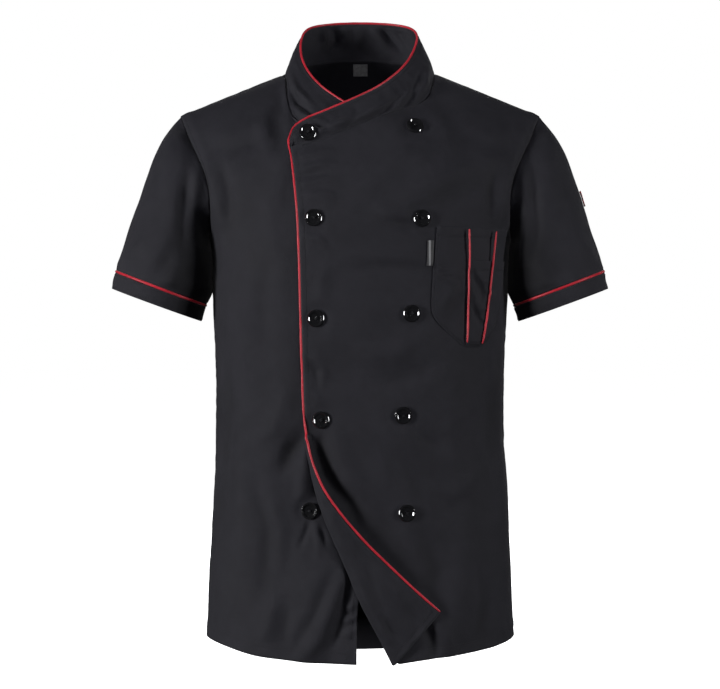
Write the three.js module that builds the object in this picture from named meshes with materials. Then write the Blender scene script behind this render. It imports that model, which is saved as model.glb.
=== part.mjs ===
// A short-sleeved, double-breasted chef jacket with a crossing stand collar and red piping, shown as
// worn and filled out with no wearer. Millimetres, +X to the wearer's left, +Y to the back, +Z up.
// The origin lies midway between the two shoulder points of the neck, where the garment is held up.
import * as THREE from 'three';

// Driving dimensions
const WALL = 1.6; // cloth of fronts, back, sleeves and collar, with its turned-in allowances
const THIN_WALL = 1.2; // single cloth of the pockets
const TAB_WALL = 0.8; // woven tabs
const SLEEVE_GAP = 0.9; // across the armhole seam, where sleeve and panel stand at an angle
const SEAM_GAP = 0.3; // between two pieces that are sewn together
const LAP_LIFT = 3.0; // how far the over front rides above the under front
const ROUNDNESS = 2.4; // exponent of the body's rounded cross sections
const NECK_POINT = 93; // half distance between the neck ends of the shoulder seams
const NECK_RISE = 75; // rise of the shoulder surface over the neck hole, which is cut away
const SHOULDER_SLOPE = Math.tan(THREE.MathUtils.degToRad(22));
const SHOULDER_ROUND = 130; // height over which the shoulder rounds from seam to chest
const FLAT_HALF = 100; // half width in which a panel is measured straight across
const SIDE_SPREAD = 150; // measure from there to the side seam
const SHOULDER_TIP = { x: 224, z: -54 };
const ARMPIT_Z = -205;
const HEM_SIDE_Z = -699;
const PIPING_RADIUS = 1.6;
const CUFF_PIPING_RADIUS = 1.3;
const PIPING_GAP = 0.6; // from a curved edge to the piping along it
const BUTTON_RADIUS = 10.5;
const BUTTON_HEIGHT = 4.4;

// How finely the cloth is divided
const ROWS_BELOW_ARMPIT = 16;
const ROWS_ABOVE_ARMPIT = 10;
const SHOULDER_COLUMNS = 8;
const FREE_EDGE_FADE = 3; // how quickly a free edge's curve fades into its panel
const HIDDEN_NECK_COLUMNS = 3;
const PIPING_SIDES = 6;

// Body cross sections: half width and depth to the front and to the back
const BODY = [
  { z: -760, half: 193, front: 117, back: 107 },
  { z: -697, half: 191, front: 116, back: 106 },
  { z: -607, half: 187.5, front: 113, back: 103 },
  { z: -532, half: 182.5, front: 112, back: 99 },
  { z: -460, half: 180, front: 113, back: 95 },
  { z: -395, half: 180, front: 116, back: 96 },
  { z: -330, half: 181.5, front: 120, back: 100 },
  { z: -270, half: 184, front: 122, back: 106 },
  { z: -205, half: 187, front: 120, back: 111 },
  { z: -160, half: 206, front: 114, back: 112 },
  { z: -110, half: 222, front: 101, back: 109 },
  { z: -54, half: 233, front: 76, back: 101 },
  { z: 0, half: 238, front: 56, back: 90 },
  { z: 40, half: 240, front: 52, back: 80 },
];

// Armhole seams, seen from the front and from the back, up to the shoulder tip
const ARMHOLE = {
  front: [
    { z: ARMPIT_Z, x: 187 }, { z: -188, x: 185.5 }, { z: -162, x: 184.5 }, { z: -139, x: 187 },
    { z: -116, x: 196 }, { z: -91, x: 209 }, { z: -54, x: SHOULDER_TIP.x },
  ],
  back: [
    { z: ARMPIT_Z, x: 187 }, { z: -185, x: 189 }, { z: -160, x: 193 }, { z: -130, x: 200 },
    { z: -100, x: 209 }, { z: -75, x: 217.5 }, { z: -54, x: SHOULDER_TIP.x },
  ],
};

// Collar stations from the over end round the neck to the under end: the base lies on the neckline
// of the panel named, and the rim stands free
const COLLAR = [
  { panel: 'over', baseX: -83, baseZ: -102, rimX: -85.5, rimY: -91, rimZ: -91 },
  { panel: 'over', baseX: -71, baseZ: -99.5, rimX: -81, rimY: -88, rimZ: -76 },
  { panel: 'over', baseX: -58, baseZ: -96.5, rimX: -66, rimY: -86, rimZ: -66 },
  { panel: 'over', baseX: -40, baseZ: -91.5, rimX: -45, rimY: -83, rimZ: -58 },
  { panel: 'over', baseX: -17, baseZ: -82, rimX: -19, rimY: -77, rimZ: -46 },
  { panel: 'over', baseX: 10, baseZ: -70, rimX: 5, rimY: -71, rimZ: -35 },
  { panel: 'over', baseX: 36, baseZ: -59, rimX: 25, rimY: -63, rimZ: -24 },
  { panel: 'over', baseX: 62, baseZ: -50, rimX: 44, rimY: -51, rimZ: -9 },
  { panel: 'over', baseX: 80, baseZ: -42, rimX: 57, rimY: -38, rimZ: 5 },
  { panel: 'over', baseX: 88, baseZ: -27, rimX: 66, rimY: -22, rimZ: 20 },
  { panel: 'over', baseX: 92, baseZ: -10, rimX: 72, rimY: -6, rimZ: 36 },
  { panel: 'over', baseX: NECK_POINT, baseZ: 0, rimX: 74, rimY: 8, rimZ: 47 },
  { panel: 'back', baseX: 88, baseZ: 6, rimX: 71, rimY: 24, rimZ: 56 },
  { panel: 'back', baseX: 75, baseZ: 14, rimX: 61, rimY: 42, rimZ: 64 },
  { panel: 'back', baseX: 42, baseZ: 22, rimX: 34, rimY: 56, rimZ: 69.5 },
  { panel: 'back', baseX: 0, baseZ: 25, rimX: 0, rimY: 60, rimZ: 71 },
  { panel: 'back', baseX: -42, baseZ: 22, rimX: -34, rimY: 56, rimZ: 69.5 },
  { panel: 'back', baseX: -75, baseZ: 14, rimX: -61, rimY: 42, rimZ: 64 },
  { panel: 'back', baseX: -88, baseZ: 6, rimX: -71, rimY: 24, rimZ: 56 },
  { panel: 'under', baseX: -NECK_POINT, baseZ: 0, rimX: -75, rimY: 8, rimZ: 46 },
  { panel: 'under', baseX: -92.5, baseZ: -14, rimX: -77, rimY: -5, rimZ: 31 },
  { panel: 'under', baseX: -91, baseZ: -32, rimX: -73, rimY: -22, rimZ: 11 },
  { panel: 'under', baseX: -87, baseZ: -50, rimX: -63, rimY: -37, rimZ: -7 },
  { panel: 'under', baseX: -79, baseZ: -67, rimX: -49, rimY: -50, rimZ: -23 },
  { panel: 'under', baseX: -58, baseZ: -78, rimX: -32, rimY: -60, rimZ: -36 },
  { panel: 'under', baseX: -34, baseZ: -82, rimX: -16, rimY: -67, rimZ: -46 },
  { panel: 'under', baseX: -14, baseZ: -84, rimX: -3, rimY: -70, rimZ: -55 },
];
const COLLAR_ROWS = 4;
const COLLAR_GAP = 0.9; // from the neckline to the band, which stands at an angle to it
const COLLAR_BULGE = 2.5; // the band curves outward between its base and its rim

// Free edge of the over front, from the collar's end to the top of the turned-back corner
const OVER_EDGE = [
  { z: -102, x: -83 }, { z: -116, x: -80.6 }, { z: -154, x: -76 }, { z: -184, x: -73.3 },
  { z: -238, x: -70.8 }, { z: -333, x: -68.5 }, { z: -416, x: -66 }, { z: -446, x: -64.3 },
];

const EDGE_PIPING_HEIGHTS = [-114, -124, -150, -184, -225, -270, -315, -360, -395, -418, -431, -443];
const EDGE_TO_FRONT_FROM = -418; // the piping starts to pass from beside the edge to its front here

// Line on which the over front's lower corner is folded back, down to the hem
const FOLD_LINE = [
  { z: -446, x: -67.2 }, { z: -488, x: -60 }, { z: -526, x: -51 }, { z: -569, x: -34.6 },
  { z: -606, x: -18 }, { z: -650, x: 0 }, { z: -676, x: 14.3 }, { z: -721, x: 38 },
];

// Piped edge of the turned-back corner and how far it stands off the body
const TURNED_EDGE = [
  { z: -449, x: -62.9, lift: 6 }, { z: -478, x: -57.2, lift: 9.5 }, { z: -501, x: -48.8, lift: 13 },
  { z: -520, x: -39.5, lift: 14.5 }, { z: -547, x: -18.3, lift: 14 }, { z: -567, x: -3, lift: 12.5 },
  { z: -605, x: 35.3, lift: 10.5 }, { z: -632, x: 62.2, lift: 9 }, { z: -660, x: 94.3, lift: 8 },
];
const ROLL_LIFT = 8; // outer height of the fold's roll at its middle
const ROLL_LIFT_TOP = 6; // the same where the roll begins
const ROLL_GAP = 1.5; // between the roll and the over front's folded edge
const ROLL_STEPS = 4;
const TURNED_COLUMNS = 5;
const TURNED_ROWS = 10;
const ROWS_TO_SIDE = 2; // rows in which the piping passes back from the front of the edge to its side

// Free edge of the under front: straight under the over front, then drawn in to the front slit
const UNDER_EDGE = [
  { z: -721, x: -4 }, { z: -655, x: -3 }, { z: -605, x: 6 }, { z: -545, x: 28 }, { z: -485, x: 52 },
  { z: -430, x: 62 }, { z: -300, x: 63 }, { z: -92, x: 62 },
];

// Hem lines, from each side seam to the middle
const HEM_OVER = [
  { x: 38, z: -721 }, { x: 76, z: -716 }, { x: 108, z: -713 }, { x: 150, z: -708 },
  { x: 177, z: -703 }, { x: 191, z: HEM_SIDE_Z },
];
const HEM_UNDER = [
  { x: 4, z: -721 }, { x: 54, z: -719.5 }, { x: 97, z: -716 }, { x: 128, z: -713 },
  { x: 150, z: -708 }, { x: 177, z: -702 }, { x: 191, z: HEM_SIDE_Z },
];
const HEM_BACK_DIP = 37; // the back hem's middle hangs this far below the side seams

// Largest folds of each panel, as soft ridges (height above zero) and troughs
const FOLDS = [
  { panel: 'under', x1: -44, z1: -618, x2: -66, z2: -700, width: 17, height: 7 },
  { panel: 'under', x1: -20, z1: -668, x2: -38, z2: -712, width: 14, height: -6 },
  { panel: 'under', x1: -84, z1: -545, x2: -98, z2: -620, width: 18, height: -4 },
  { panel: 'under', x1: -104, z1: -430, x2: -112, z2: -560, width: 20, height: 3 },
  { panel: 'under', x1: -150, z1: -300, x2: -140, z2: -620, width: 24, height: 3 },
  { panel: 'under', x1: -122, z1: -105, x2: -152, z2: -215, width: 20, height: -3.5 },
  { panel: 'over', x1: 92, z1: -455, x2: 112, z2: -600, width: 24, height: -3 },
  { panel: 'over', x1: 140, z1: -400, x2: 152, z2: -660, width: 24, height: 3.5 },
  { panel: 'over', x1: -20, z1: -130, x2: 80, z2: -150, width: 26, height: 2 },
  { panel: 'over', x1: 10, z1: -330, x2: 70, z2: -420, width: 30, height: 2 },
  { panel: 'over', x1: 122, z1: -95, x2: 152, z2: -195, width: 18, height: -3.5 },
  { panel: 'back', x1: -60, z1: -360, x2: -75, z2: -660, width: 26, height: -5 },
  { panel: 'back', x1: 60, z1: -340, x2: 78, z2: -650, width: 26, height: -5 },
  { panel: 'back', x1: 0, z1: -300, x2: 4, z2: -600, width: 26, height: 3 },
  { panel: 'back', x1: -110, z1: -110, x2: -145, z2: -235, width: 22, height: -3.5 },
  { panel: 'back', x1: 112, z1: -115, x2: 148, z2: -230, width: 22, height: -3.5 },
];

// Sleeve sections from the armhole to the hem band: outer point, height of the inner point, how far
// that clears the body, half depth, and how far the section hangs forward
const SLEEVE = [
  { outerX: 240, outerZ: -71, innerZ: -219, clear: 0.8, depth: 58, forward: 2 },
  { outerX: 254, outerZ: -97, innerZ: -231, clear: 0.8, depth: 62, forward: 4 },
  { outerX: 265, outerZ: -127, innerZ: -243, clear: 0.8, depth: 64, forward: 6 },
  { outerX: 276, outerZ: -157, innerZ: -255, clear: 0.8, depth: 64.5, forward: 8 },
  { outerX: 285, outerZ: -187, innerZ: -266, clear: 0.9, depth: 64.5, forward: 10 },
  { outerX: 294, outerZ: -215, innerZ: -277, clear: 1.2, depth: 64, forward: 11 },
  { outerX: 304, outerZ: -246, innerZ: -289.5, clear: 6.5, depth: 63, forward: 12 },
];
const CUFF = [
  { outerX: 305, outerZ: -249.2, innerZ: -292.7, clear: 7.6, depth: 63, forward: 12 },
  { outerX: 307, outerZ: -259, innerZ: -301.5, clear: 10.5, depth: 62.5, forward: 12 },
  { outerX: 309.5, outerZ: -269, innerZ: -310.5, clear: 13.8, depth: 62, forward: 12 },
];

// Chest pocket on the wearer's left, its outline by height, and the pen pocket laid on it
const POCKET = [
  { z: -198, left: 92, right: 176 }, { z: -240, left: 88.5, right: 174 },
  { z: -278, left: 86, right: 171 }, { z: -309, left: 86, right: 167 },
  { z: -326, left: 106, right: 160 }, { z: -342, left: 124, right: 145 },
];
const PEN_POCKET = [
  { z: -238, left: 129.5, right: 173 }, { z: -270, left: 129.5, right: 170.5 },
  { z: -302, left: 127.5, right: 166.5 }, { z: -322, left: 126, right: 158.5 },
  { z: -339, left: 125.5, right: 144 },
];
const PEN_POCKET_PIPING = [
  { name: 'piping_pocket_inner', top: { x: 128, z: -200 }, middle: { x: 130, z: -262 }, foot: { x: 126, z: -337 } },
  { name: 'piping_pocket_outer', top: { x: 160, z: -201 }, middle: { x: 153, z: -268 }, foot: { x: 143, z: -338 } },
];
const PANEL_TO_POCKET = 1.1;

// Tab sewn into the pocket's edge
const POCKET_TAB = [{ z: -215, left: 80.5, right: 88 }, { z: -245, left: 79.5, right: 86.8 }];

// Tab inside the back neck, seen from behind, and tab on the wearer's left sleeve
const NECK_TAB = [{ z: 22, left: 10, right: -9 }, { z: 8, left: 10, right: -9 }];
const SLEEVE_TAB = { top: -148, foot: -167, half: 7, drop: 1.1, gap: 0.7 };

// Buttons on the two fronts
const BUTTON_FACETS = 12;
const BUTTON_GAP = 0.7;
const COLLAR_BUTTON_GAP = 0.7; // the collar's end is rounder than the fronts
const BUTTONS = [
  { name: 'button_right_1', x: -64, z: -84, on: 'collar' },
  { name: 'button_right_2', x: -55, z: -188, on: 'over' },
  { name: 'button_right_3', x: -52.5, z: -308, on: 'over' },
  { name: 'button_right_4', x: -46.5, z: -429, on: 'over' },
  { name: 'button_right_5', x: -60, z: -538, on: 'under' },
  { name: 'button_left_1', x: 66.5, z: -74.5, on: 'over' },
  { name: 'button_left_2', x: 74, z: -188.5, on: 'over' },
  { name: 'button_left_3', x: 61.5, z: -302, on: 'over' },
  { name: 'button_left_4', x: 51.5, z: -423.5, on: 'over' },
  { name: 'button_left_5', x: 56, z: -540.5, on: 'over' },
];

// Finishes
const CLOTH = new THREE.MeshStandardMaterial({ color: '#232327', roughness: 0.8, metalness: 0 });
const RED = new THREE.MeshStandardMaterial({ color: '#b32838', roughness: 0.6, metalness: 0 });
const GLOSS = new THREE.MeshStandardMaterial({ color: '#0b0b0c', roughness: 0.2, metalness: 0 });
const PALE = new THREE.MeshStandardMaterial({ color: '#9b9b9b', roughness: 0.8, metalness: 0 });

const garment = new THREE.Group();
garment.name = 'chef_jacket';

function add(name, geometry, material) {
  const mesh = new THREE.Mesh(geometry, material);
  mesh.name = name;
  garment.add(mesh);
  return mesh;
}

// Reads one column of a table by height with a smooth curve through its rows
function column(table, name, at, key = 'z') {
  const rows = table[0][key] <= table[table.length - 1][key] ? table : [...table].reverse();
  let i = 0;
  while (i < rows.length - 2 && at > rows[i + 1][key]) i += 1;
  const [a, b] = [rows[i], rows[i + 1]];
  const before = rows[Math.max(i - 1, 0)];
  const after = rows[Math.min(i + 2, rows.length - 1)];
  const step = b[key] - a[key];
  const t = THREE.MathUtils.clamp((at - a[key]) / step, 0, 1);
  const slopeA = (b[name] - before[name]) / (b[key] - before[key]) * step;
  const slopeB = (after[name] - a[name]) / (after[key] - a[key]) * step;
  const [t2, t3] = [t * t, t * t * t];
  return (2 * t3 - 3 * t2 + 1) * a[name] + (t3 - 2 * t2 + t) * slopeA
    + (3 * t2 - 2 * t3) * b[name] + (t3 - t2) * slopeB;
}

// Height of the shoulder seam over a place across the body. Over the neck hole it goes on as a dome
// behind, and in front as a surface that leaves the seam's slope slowly.
function shoulderHeight(x, face) {
  const inside = NECK_POINT - Math.abs(x);
  if (inside <= 0) return inside * SHOULDER_SLOPE;
  if (face === 'back') return NECK_RISE * (1 - (x / NECK_POINT) ** 2);
  const more = NECK_RISE - NECK_POINT * SHOULDER_SLOPE;
  return inside * SHOULDER_SLOPE + more * (inside / NECK_POINT) ** 1.5;
}

function foldHeight(panel, x, z) {
  let sum = 0;
  for (const fold of FOLDS) {
    if (fold.panel !== panel) continue;
    const along = { x: fold.x2 - fold.x1, z: fold.z2 - fold.z1 };
    const length2 = along.x ** 2 + along.z ** 2;
    const t = ((x - fold.x1) * along.x + (z - fold.z1) * along.z) / length2;
    const away = Math.hypot(x - fold.x1 - t * along.x, z - fold.z1 - t * along.z);
    const past = Math.max(0, Math.abs(t - 0.5) - 0.5) * Math.sqrt(length2);
    sum += fold.height * Math.exp(-((away ** 2 + past ** 2) / fold.width ** 2));
  }
  return sum;
}

// A point of the body's form. The angle runs from the middle (0) to a side seam (a quarter turn).
function bodyPoint(panel, angle, z) {
  const face = panel === 'back' ? 'back' : 'front';
  const half = column(BODY, 'half', z);
  const x = Math.sign(angle) * half * Math.abs(Math.sin(angle)) ** (2 / ROUNDNESS);
  const round = Math.max(Math.cos(angle), 0) ** (2 / ROUNDNESS);
  const below = THREE.MathUtils.clamp((shoulderHeight(x, face) - z) / SHOULDER_ROUND, 0, 1);
  const roof = Math.sqrt(1 - (1 - below) ** 2);
  const depth = column(BODY, face, z) * round * roof + foldHeight(panel, x, z) * round ** 2 * roof;
  return new THREE.Vector3(x, (face === 'front' ? -1 : 1) * (SEAM_GAP / 2 + depth), z);
}

function angleAt(x, z) {
  const share = Math.min(Math.abs(x) / column(BODY, 'half', z), 1);
  return Math.sign(x) * Math.asin(share ** (ROUNDNESS / 2));
}

// Panels are filled in a measure that is the true width near the middle and turns with the body's
// round towards the side seams, where it reaches the same value at every height
function spreadAt(x, z) {
  if (Math.abs(x) <= FLAT_HALF) return x;
  const from = angleAt(FLAT_HALF, z);
  const turned = (angleAt(Math.abs(x), z) - from) / (Math.PI / 2 - from);
  return Math.sign(x) * (FLAT_HALF + SIDE_SPREAD * turned);
}

function angleFromSpread(spread, z) {
  if (Math.abs(spread) <= FLAT_HALF) return angleAt(spread, z);
  const from = angleAt(FLAT_HALF, z);
  const turned = (Math.abs(spread) - FLAT_HALF) / SIDE_SPREAD;
  return Math.sign(spread) * (from + (Math.PI / 2 - from) * Math.min(turned, 1));
}

// How far a panel rides above the body's form
function lap(panel, x, z) {
  if (panel !== 'over') return 0;
  const towardSide = 1 - THREE.MathUtils.smoothstep(x, 70, 125);
  const towardShoulder = 1 - THREE.MathUtils.smoothstep(z, -75, -25);
  return LAP_LIFT * towardSide * towardShoulder;
}

// A place on a panel's outer face, away from seams, with its outward direction
function onPanel(panel, x, z, out = 0) {
  const at = (px, pz) => bodyPoint(panel, angleAt(px, pz), pz);
  const across = at(x + 1, z).sub(at(x - 1, z));
  const up = at(x, z + 1).sub(at(x, z - 1));
  const normal = across.cross(up).normalize();
  if (panel === 'back') normal.negate();
  return { point: at(x, z).addScaledVector(normal, lap(panel, x, z) + out), normal };
}

// A place on a finished panel's own facets, moved out along the form's direction
function onFacets(panel, x, z, out) {
  const grid = panels[panel].outer;
  const { normal } = onPanel(panel, x, z);
  const place = new THREE.Vector2(x, z);
  for (let r = 0; r < grid.length - 1; r += 1) {
    for (let c = 0; c < grid[0].length - 1; c += 1) {
      for (const corners of cellFacets(grid, r, c)) {
        const facet = corners.map(([row, at]) => grid[row][at]);
        const share = facetShare(facet, place);
        if (!share) continue;
        const y = facet[0].y * share[0] + facet[1].y * share[1] + facet[2].y * share[2];
        return { point: new THREE.Vector3(x, y, z).addScaledVector(normal, out), normal };
      }
    }
  }
  return onPanel(panel, x, z, out);
}

// How much each corner of a facet counts at a place seen from the front, if the facet covers it
function facetShare([a, b, c], place) {
  const area = (b.x - a.x) * (c.z - a.z) - (c.x - a.x) * (b.z - a.z);
  if (Math.abs(area) < 1e-9) return null;
  const second = ((place.x - a.x) * (c.z - a.z) - (c.x - a.x) * (place.y - a.z)) / area;
  const third = ((b.x - a.x) * (place.y - a.z) - (place.x - a.x) * (b.z - a.z)) / area;
  const share = [1 - second - third, second, third];
  return share.every((part) => part >= -1e-9) ? share : null;
}

// The two facets of a grid's cell as rows and columns, divided along the cell's shorter diagonal
function cellFacets(grid, r, c) {
  const next = (c + 1) % grid[0].length;
  const [a, b, d, e] = [[r, c], [r, next], [r + 1, next], [r + 1, c]];
  const apart = ([r1, c1], [r2, c2]) => grid[r1][c1].distanceTo(grid[r2][c2]);
  return apart(a, d) <= apart(b, e) ? [[a, b, d], [a, d, e]] : [[a, b, e], [b, d, e]];
}

// A wall between an outer and an inner grid of points; a closed grid joins its last column to its first
function wallGeometry(outer, inner, closed = false) {
  const rows = outer.length;
  const columns = outer[0].length;
  const positions = [];
  const index = [];
  for (const grid of [outer, inner]) for (const row of grid) for (const p of row) positions.push(p.x, p.y, p.z);
  const id = (layer, r, c) => layer * rows * columns + r * columns + (c % columns);
  const quad = (a, b, c, d) => index.push(a, b, c, a, c, d);
  const lastColumn = closed ? columns : columns - 1;
  for (let r = 0; r < rows - 1; r += 1) {
    for (let c = 0; c < lastColumn; c += 1) {
      for (const [p, q, s] of cellFacets(outer, r, c)) {
        index.push(id(0, ...p), id(0, ...q), id(0, ...s), id(1, ...p), id(1, ...s), id(1, ...q));
      }
    }
  }
  for (let c = 0; c < lastColumn; c += 1) {
    quad(id(1, 0, c), id(1, 0, c + 1), id(0, 0, c + 1), id(0, 0, c));
    quad(id(0, rows - 1, c), id(0, rows - 1, c + 1), id(1, rows - 1, c + 1), id(1, rows - 1, c));
  }
  if (!closed) {
    for (let r = 0; r < rows - 1; r += 1) {
      quad(id(0, r, 0), id(0, r + 1, 0), id(1, r + 1, 0), id(1, r, 0));
      quad(id(1, r, columns - 1), id(1, r + 1, columns - 1), id(0, r + 1, columns - 1), id(0, r, columns - 1));
    }
  }
  const geometry = new THREE.BufferGeometry();
  geometry.setAttribute('position', new THREE.Float32BufferAttribute(positions, 3));
  geometry.setIndex(index);
  return geometry;
}

// Outward directions of a grid whose columns run to the right and rows run up, seen from outside
function gridNormals(grid, closed = false) {
  const rows = grid.length;
  const columns = grid[0].length;
  return grid.map((row, r) => row.map((_, c) => {
    const left = closed ? grid[r][(c - 1 + columns) % columns] : grid[r][Math.max(c - 1, 0)];
    const right = closed ? grid[r][(c + 1) % columns] : grid[r][Math.min(c + 1, columns - 1)];
    const low = grid[Math.max(r - 1, 0)][c];
    const high = grid[Math.min(r + 1, rows - 1)][c];
    return right.clone().sub(left).cross(high.clone().sub(low)).normalize();
  }));
}

function moved(grid, normals, distance) {
  return grid.map((row, r) => row.map((p, c) => {
    const by = typeof distance === 'function' ? distance(r, c, p) : distance;
    return p.clone().addScaledVector(normals[r][c], by);
  }));
}

// Fractions of the height from hem to shoulder at which a panel has a row of points
function rowFractions() {
  const height = SHOULDER_TIP.z - HEM_SIDE_Z;
  const fractions = [];
  for (let k = 0; k <= ROWS_BELOW_ARMPIT; k += 1) {
    fractions.push((k / ROWS_BELOW_ARMPIT) * ((ARMPIT_Z - HEM_SIDE_Z) / height));
  }
  for (let k = 1; k <= ROWS_ABOVE_ARMPIT; k += 1) {
    const rise = (1 - Math.cos((k / ROWS_ABOVE_ARMPIT) * Math.PI)) / 2;
    fractions.push((ARMPIT_Z - HEM_SIDE_Z + rise * (SHOULDER_TIP.z - ARMPIT_Z)) / height);
  }
  return fractions;
}

// The side line of a panel as measure and height: the side seam, then the armhole
function sideAt(face, side, v) {
  const z = THREE.MathUtils.lerp(HEM_SIDE_Z, SHOULDER_TIP.z, v);
  if (z <= ARMPIT_Z + 1e-6) return { spread: side * (FLAT_HALF + SIDE_SPREAD), z };
  return { spread: spreadAt(side * column(ARMHOLE[face], 'x', z), z), z };
}

function shoulderLine(side) {
  const points = [];
  for (let c = 0; c < SHOULDER_COLUMNS; c += 1) {
    const x = THREE.MathUtils.lerp(SHOULDER_TIP.x, NECK_POINT, c / SHOULDER_COLUMNS);
    points.push({ x: side * x, z: c === 0 ? SHOULDER_TIP.z : (NECK_POINT - x) * SHOULDER_SLOPE });
  }
  return points;
}

const measured = ({ x, z }) => ({ spread: spreadAt(x, z), z });

// Height at a fraction of the way up a panel; the row of points at the armpit is level
function rowHeight(foot, top, v) {
  const armpit = (ARMPIT_Z - HEM_SIDE_Z) / (SHOULDER_TIP.z - HEM_SIDE_Z);
  if (v <= armpit) return THREE.MathUtils.lerp(foot, ARMPIT_Z, v / armpit);
  return THREE.MathUtils.lerp(ARMPIT_Z, top, (v - armpit) / (1 - armpit));
}

// How much a panel feels the curve of a free edge, or of a side line below the shoulder seam, at a
// share of its width away from it
const nearFreeEdge = (away) => (1 - away) ** FREE_EDGE_FADE;
const nearSide = (seamShare) => (away) => Math.max(0, 1 - away / seamShare);

// Fills a panel between its four edges
function panelGrid(panel, edges) {
  const count = edges.top.length;
  const bend = (line, v) => line(v).spread - THREE.MathUtils.lerp(line(0).spread, line(1).spread, v);
  return rowFractions().map((v) => {
    const first = bend(edges.start, v);
    const last = bend(edges.end, v);
    return edges.top.map((top, c) => {
      const u = c / (count - 1);
      const bottom = edges.bottom(u);
      const z = rowHeight(bottom.z, top.z, v);
      const straight = THREE.MathUtils.lerp(bottom.spread, top.spread, v);
      const spread = straight + edges.nearStart(u) * first + edges.nearEnd(1 - u) * last;
      return bodyPoint(panel, angleFromSpread(spread, z), z);
    });
  });
}

// Gives a panel its wall. Along side and shoulder seams the wall stands square to the seam.
function panelWall(panel, grid, seams) {
  const normals = gridNormals(grid);
  normals.forEach((row, r) => row.forEach((n, c) => {
    if (seams(r, c)) n.setY(0).normalize();
  }));
  const outer = moved(grid, normals, (r, c, p) => lap(panel, p.x, p.z));
  const inner = moved(grid, normals, (r, c, p) => lap(panel, p.x, p.z) - WALL);
  return { outer, inner };
}

const neckline = (panel) => COLLAR.filter((s) => s.panel === panel).map((s) => ({ x: s.baseX, z: s.baseZ }));

// A point of a hem line at a measure across the wearer's left half
function hemPoint(line, spread) {
  const x = column(BODY, 'half', HEM_SIDE_Z) * Math.sin(angleFromSpread(spread, HEM_SIDE_Z)) ** (2 / ROUNDNESS);
  return { spread, z: column(line, 'z', x, 'x') };
}

// The over front, wearer's left. Its columns run from its free edge to the side seam.
function frontOver() {
  const top = [...neckline('over'), ...shoulderLine(1).reverse()].map(measured);
  const hem = { from: spreadAt(38, HEM_SIDE_Z), to: FLAT_HALF + SIDE_SPREAD };
  const start = (v) => {
    const z = rowHeight(-721, COLLAR[0].baseZ, v);
    const onFold = z < FOLD_LINE[0].z;
    const x = onFold ? column(FOLD_LINE, 'x', z) + rollRadius(z) + ROLL_GAP : column(OVER_EDGE, 'x', z);
    return measured({ x, z });
  };
  const bottom = (u) => {
    if (u === 0) return start(0);
    return hemPoint(HEM_OVER, THREE.MathUtils.lerp(hem.from, hem.to, u));
  };
  const lastColumn = top.length - 1;
  const grid = panelGrid('over', {
    start, end: (v) => sideAt('front', 1, v), bottom, top,
    nearStart: nearFreeEdge, nearEnd: nearSide(SHOULDER_COLUMNS / lastColumn),
  });
  const neckColumn = neckline('over').length - 1;
  const lastRow = grid.length - 1;
  const seams = (r, c) => (c === lastColumn && r <= ROWS_BELOW_ARMPIT) || (r === lastRow && c >= neckColumn);
  return panelWall('over', grid, seams);
}

// The under front, wearer's right. Its columns run from the side seam to its free edge.
function frontUnder() {
  const neck = neckline('under');
  const end = neck[neck.length - 1];
  const corner = UNDER_EDGE[UNDER_EDGE.length - 1];
  const hidden = [];
  for (let c = 1; c <= HIDDEN_NECK_COLUMNS; c += 1) {
    const t = c / HIDDEN_NECK_COLUMNS;
    hidden.push({ x: THREE.MathUtils.lerp(end.x, corner.x, t), z: THREE.MathUtils.lerp(end.z, corner.z, t) });
  }
  const top = [...shoulderLine(-1), ...neck, ...hidden].map(measured);
  const hem = { from: FLAT_HALF + SIDE_SPREAD, to: spreadAt(4, HEM_SIDE_Z) };
  const edge = (v) => {
    const z = rowHeight(-721, corner.z, v);
    return measured({ x: column(UNDER_EDGE, 'x', z), z });
  };
  const bottom = (u) => {
    if (u === 1) return edge(0);
    const { spread, z } = hemPoint(HEM_UNDER, THREE.MathUtils.lerp(hem.from, hem.to, u));
    return { spread: -spread, z };
  };
  const grid = panelGrid('under', {
    start: (v) => sideAt('front', -1, v), end: edge, bottom, top,
    nearStart: nearSide(SHOULDER_COLUMNS / (top.length - 1)), nearEnd: nearFreeEdge,
  });
  const lastRow = grid.length - 1;
  const seams = (r, c) => (c === 0 && r <= ROWS_BELOW_ARMPIT) || (r === lastRow && c <= SHOULDER_COLUMNS);
  return panelWall('under', grid, seams);
}

// The back, in one piece. Seen from behind, its columns run from the wearer's left to the right.
function back() {
  const neck = neckline('back');
  const middle = [{ x: NECK_POINT, z: 0 }, ...neck, { x: -NECK_POINT, z: 0 }];
  const top = [...shoulderLine(1), ...middle, ...shoulderLine(-1).reverse()].map(measured);
  const bottom = (u) => {
    const across = 1 - 2 * u;
    const z = HEM_SIDE_Z - HEM_BACK_DIP * Math.cos(across * Math.PI / 2);
    return { spread: across * (FLAT_HALF + SIDE_SPREAD), z };
  };
  const lastColumn = top.length - 1;
  const near = nearSide(SHOULDER_COLUMNS / lastColumn);
  const grid = panelGrid('back', {
    start: (v) => sideAt('back', 1, v), end: (v) => sideAt('back', -1, v), bottom, top,
    nearStart: near, nearEnd: near,
  });
  const lastRow = grid.length - 1;
  const onShoulder = (c) => c <= SHOULDER_COLUMNS || c >= lastColumn - SHOULDER_COLUMNS;
  const seams = (r, c) => ((c === 0 || c === lastColumn) && r <= ROWS_BELOW_ARMPIT) || (r === lastRow && onShoulder(c));
  return panelWall('back', grid, seams);
}

// Radius of the roll on which the lower corner is folded back; it opens below its top end
function rollRadius(z) {
  const open = THREE.MathUtils.smoothstep(-z, 446, 520);
  const height = THREE.MathUtils.lerp(ROLL_LIFT_TOP, ROLL_LIFT, open);
  return (height - (LAP_LIFT - WALL)) / 2;
}

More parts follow.
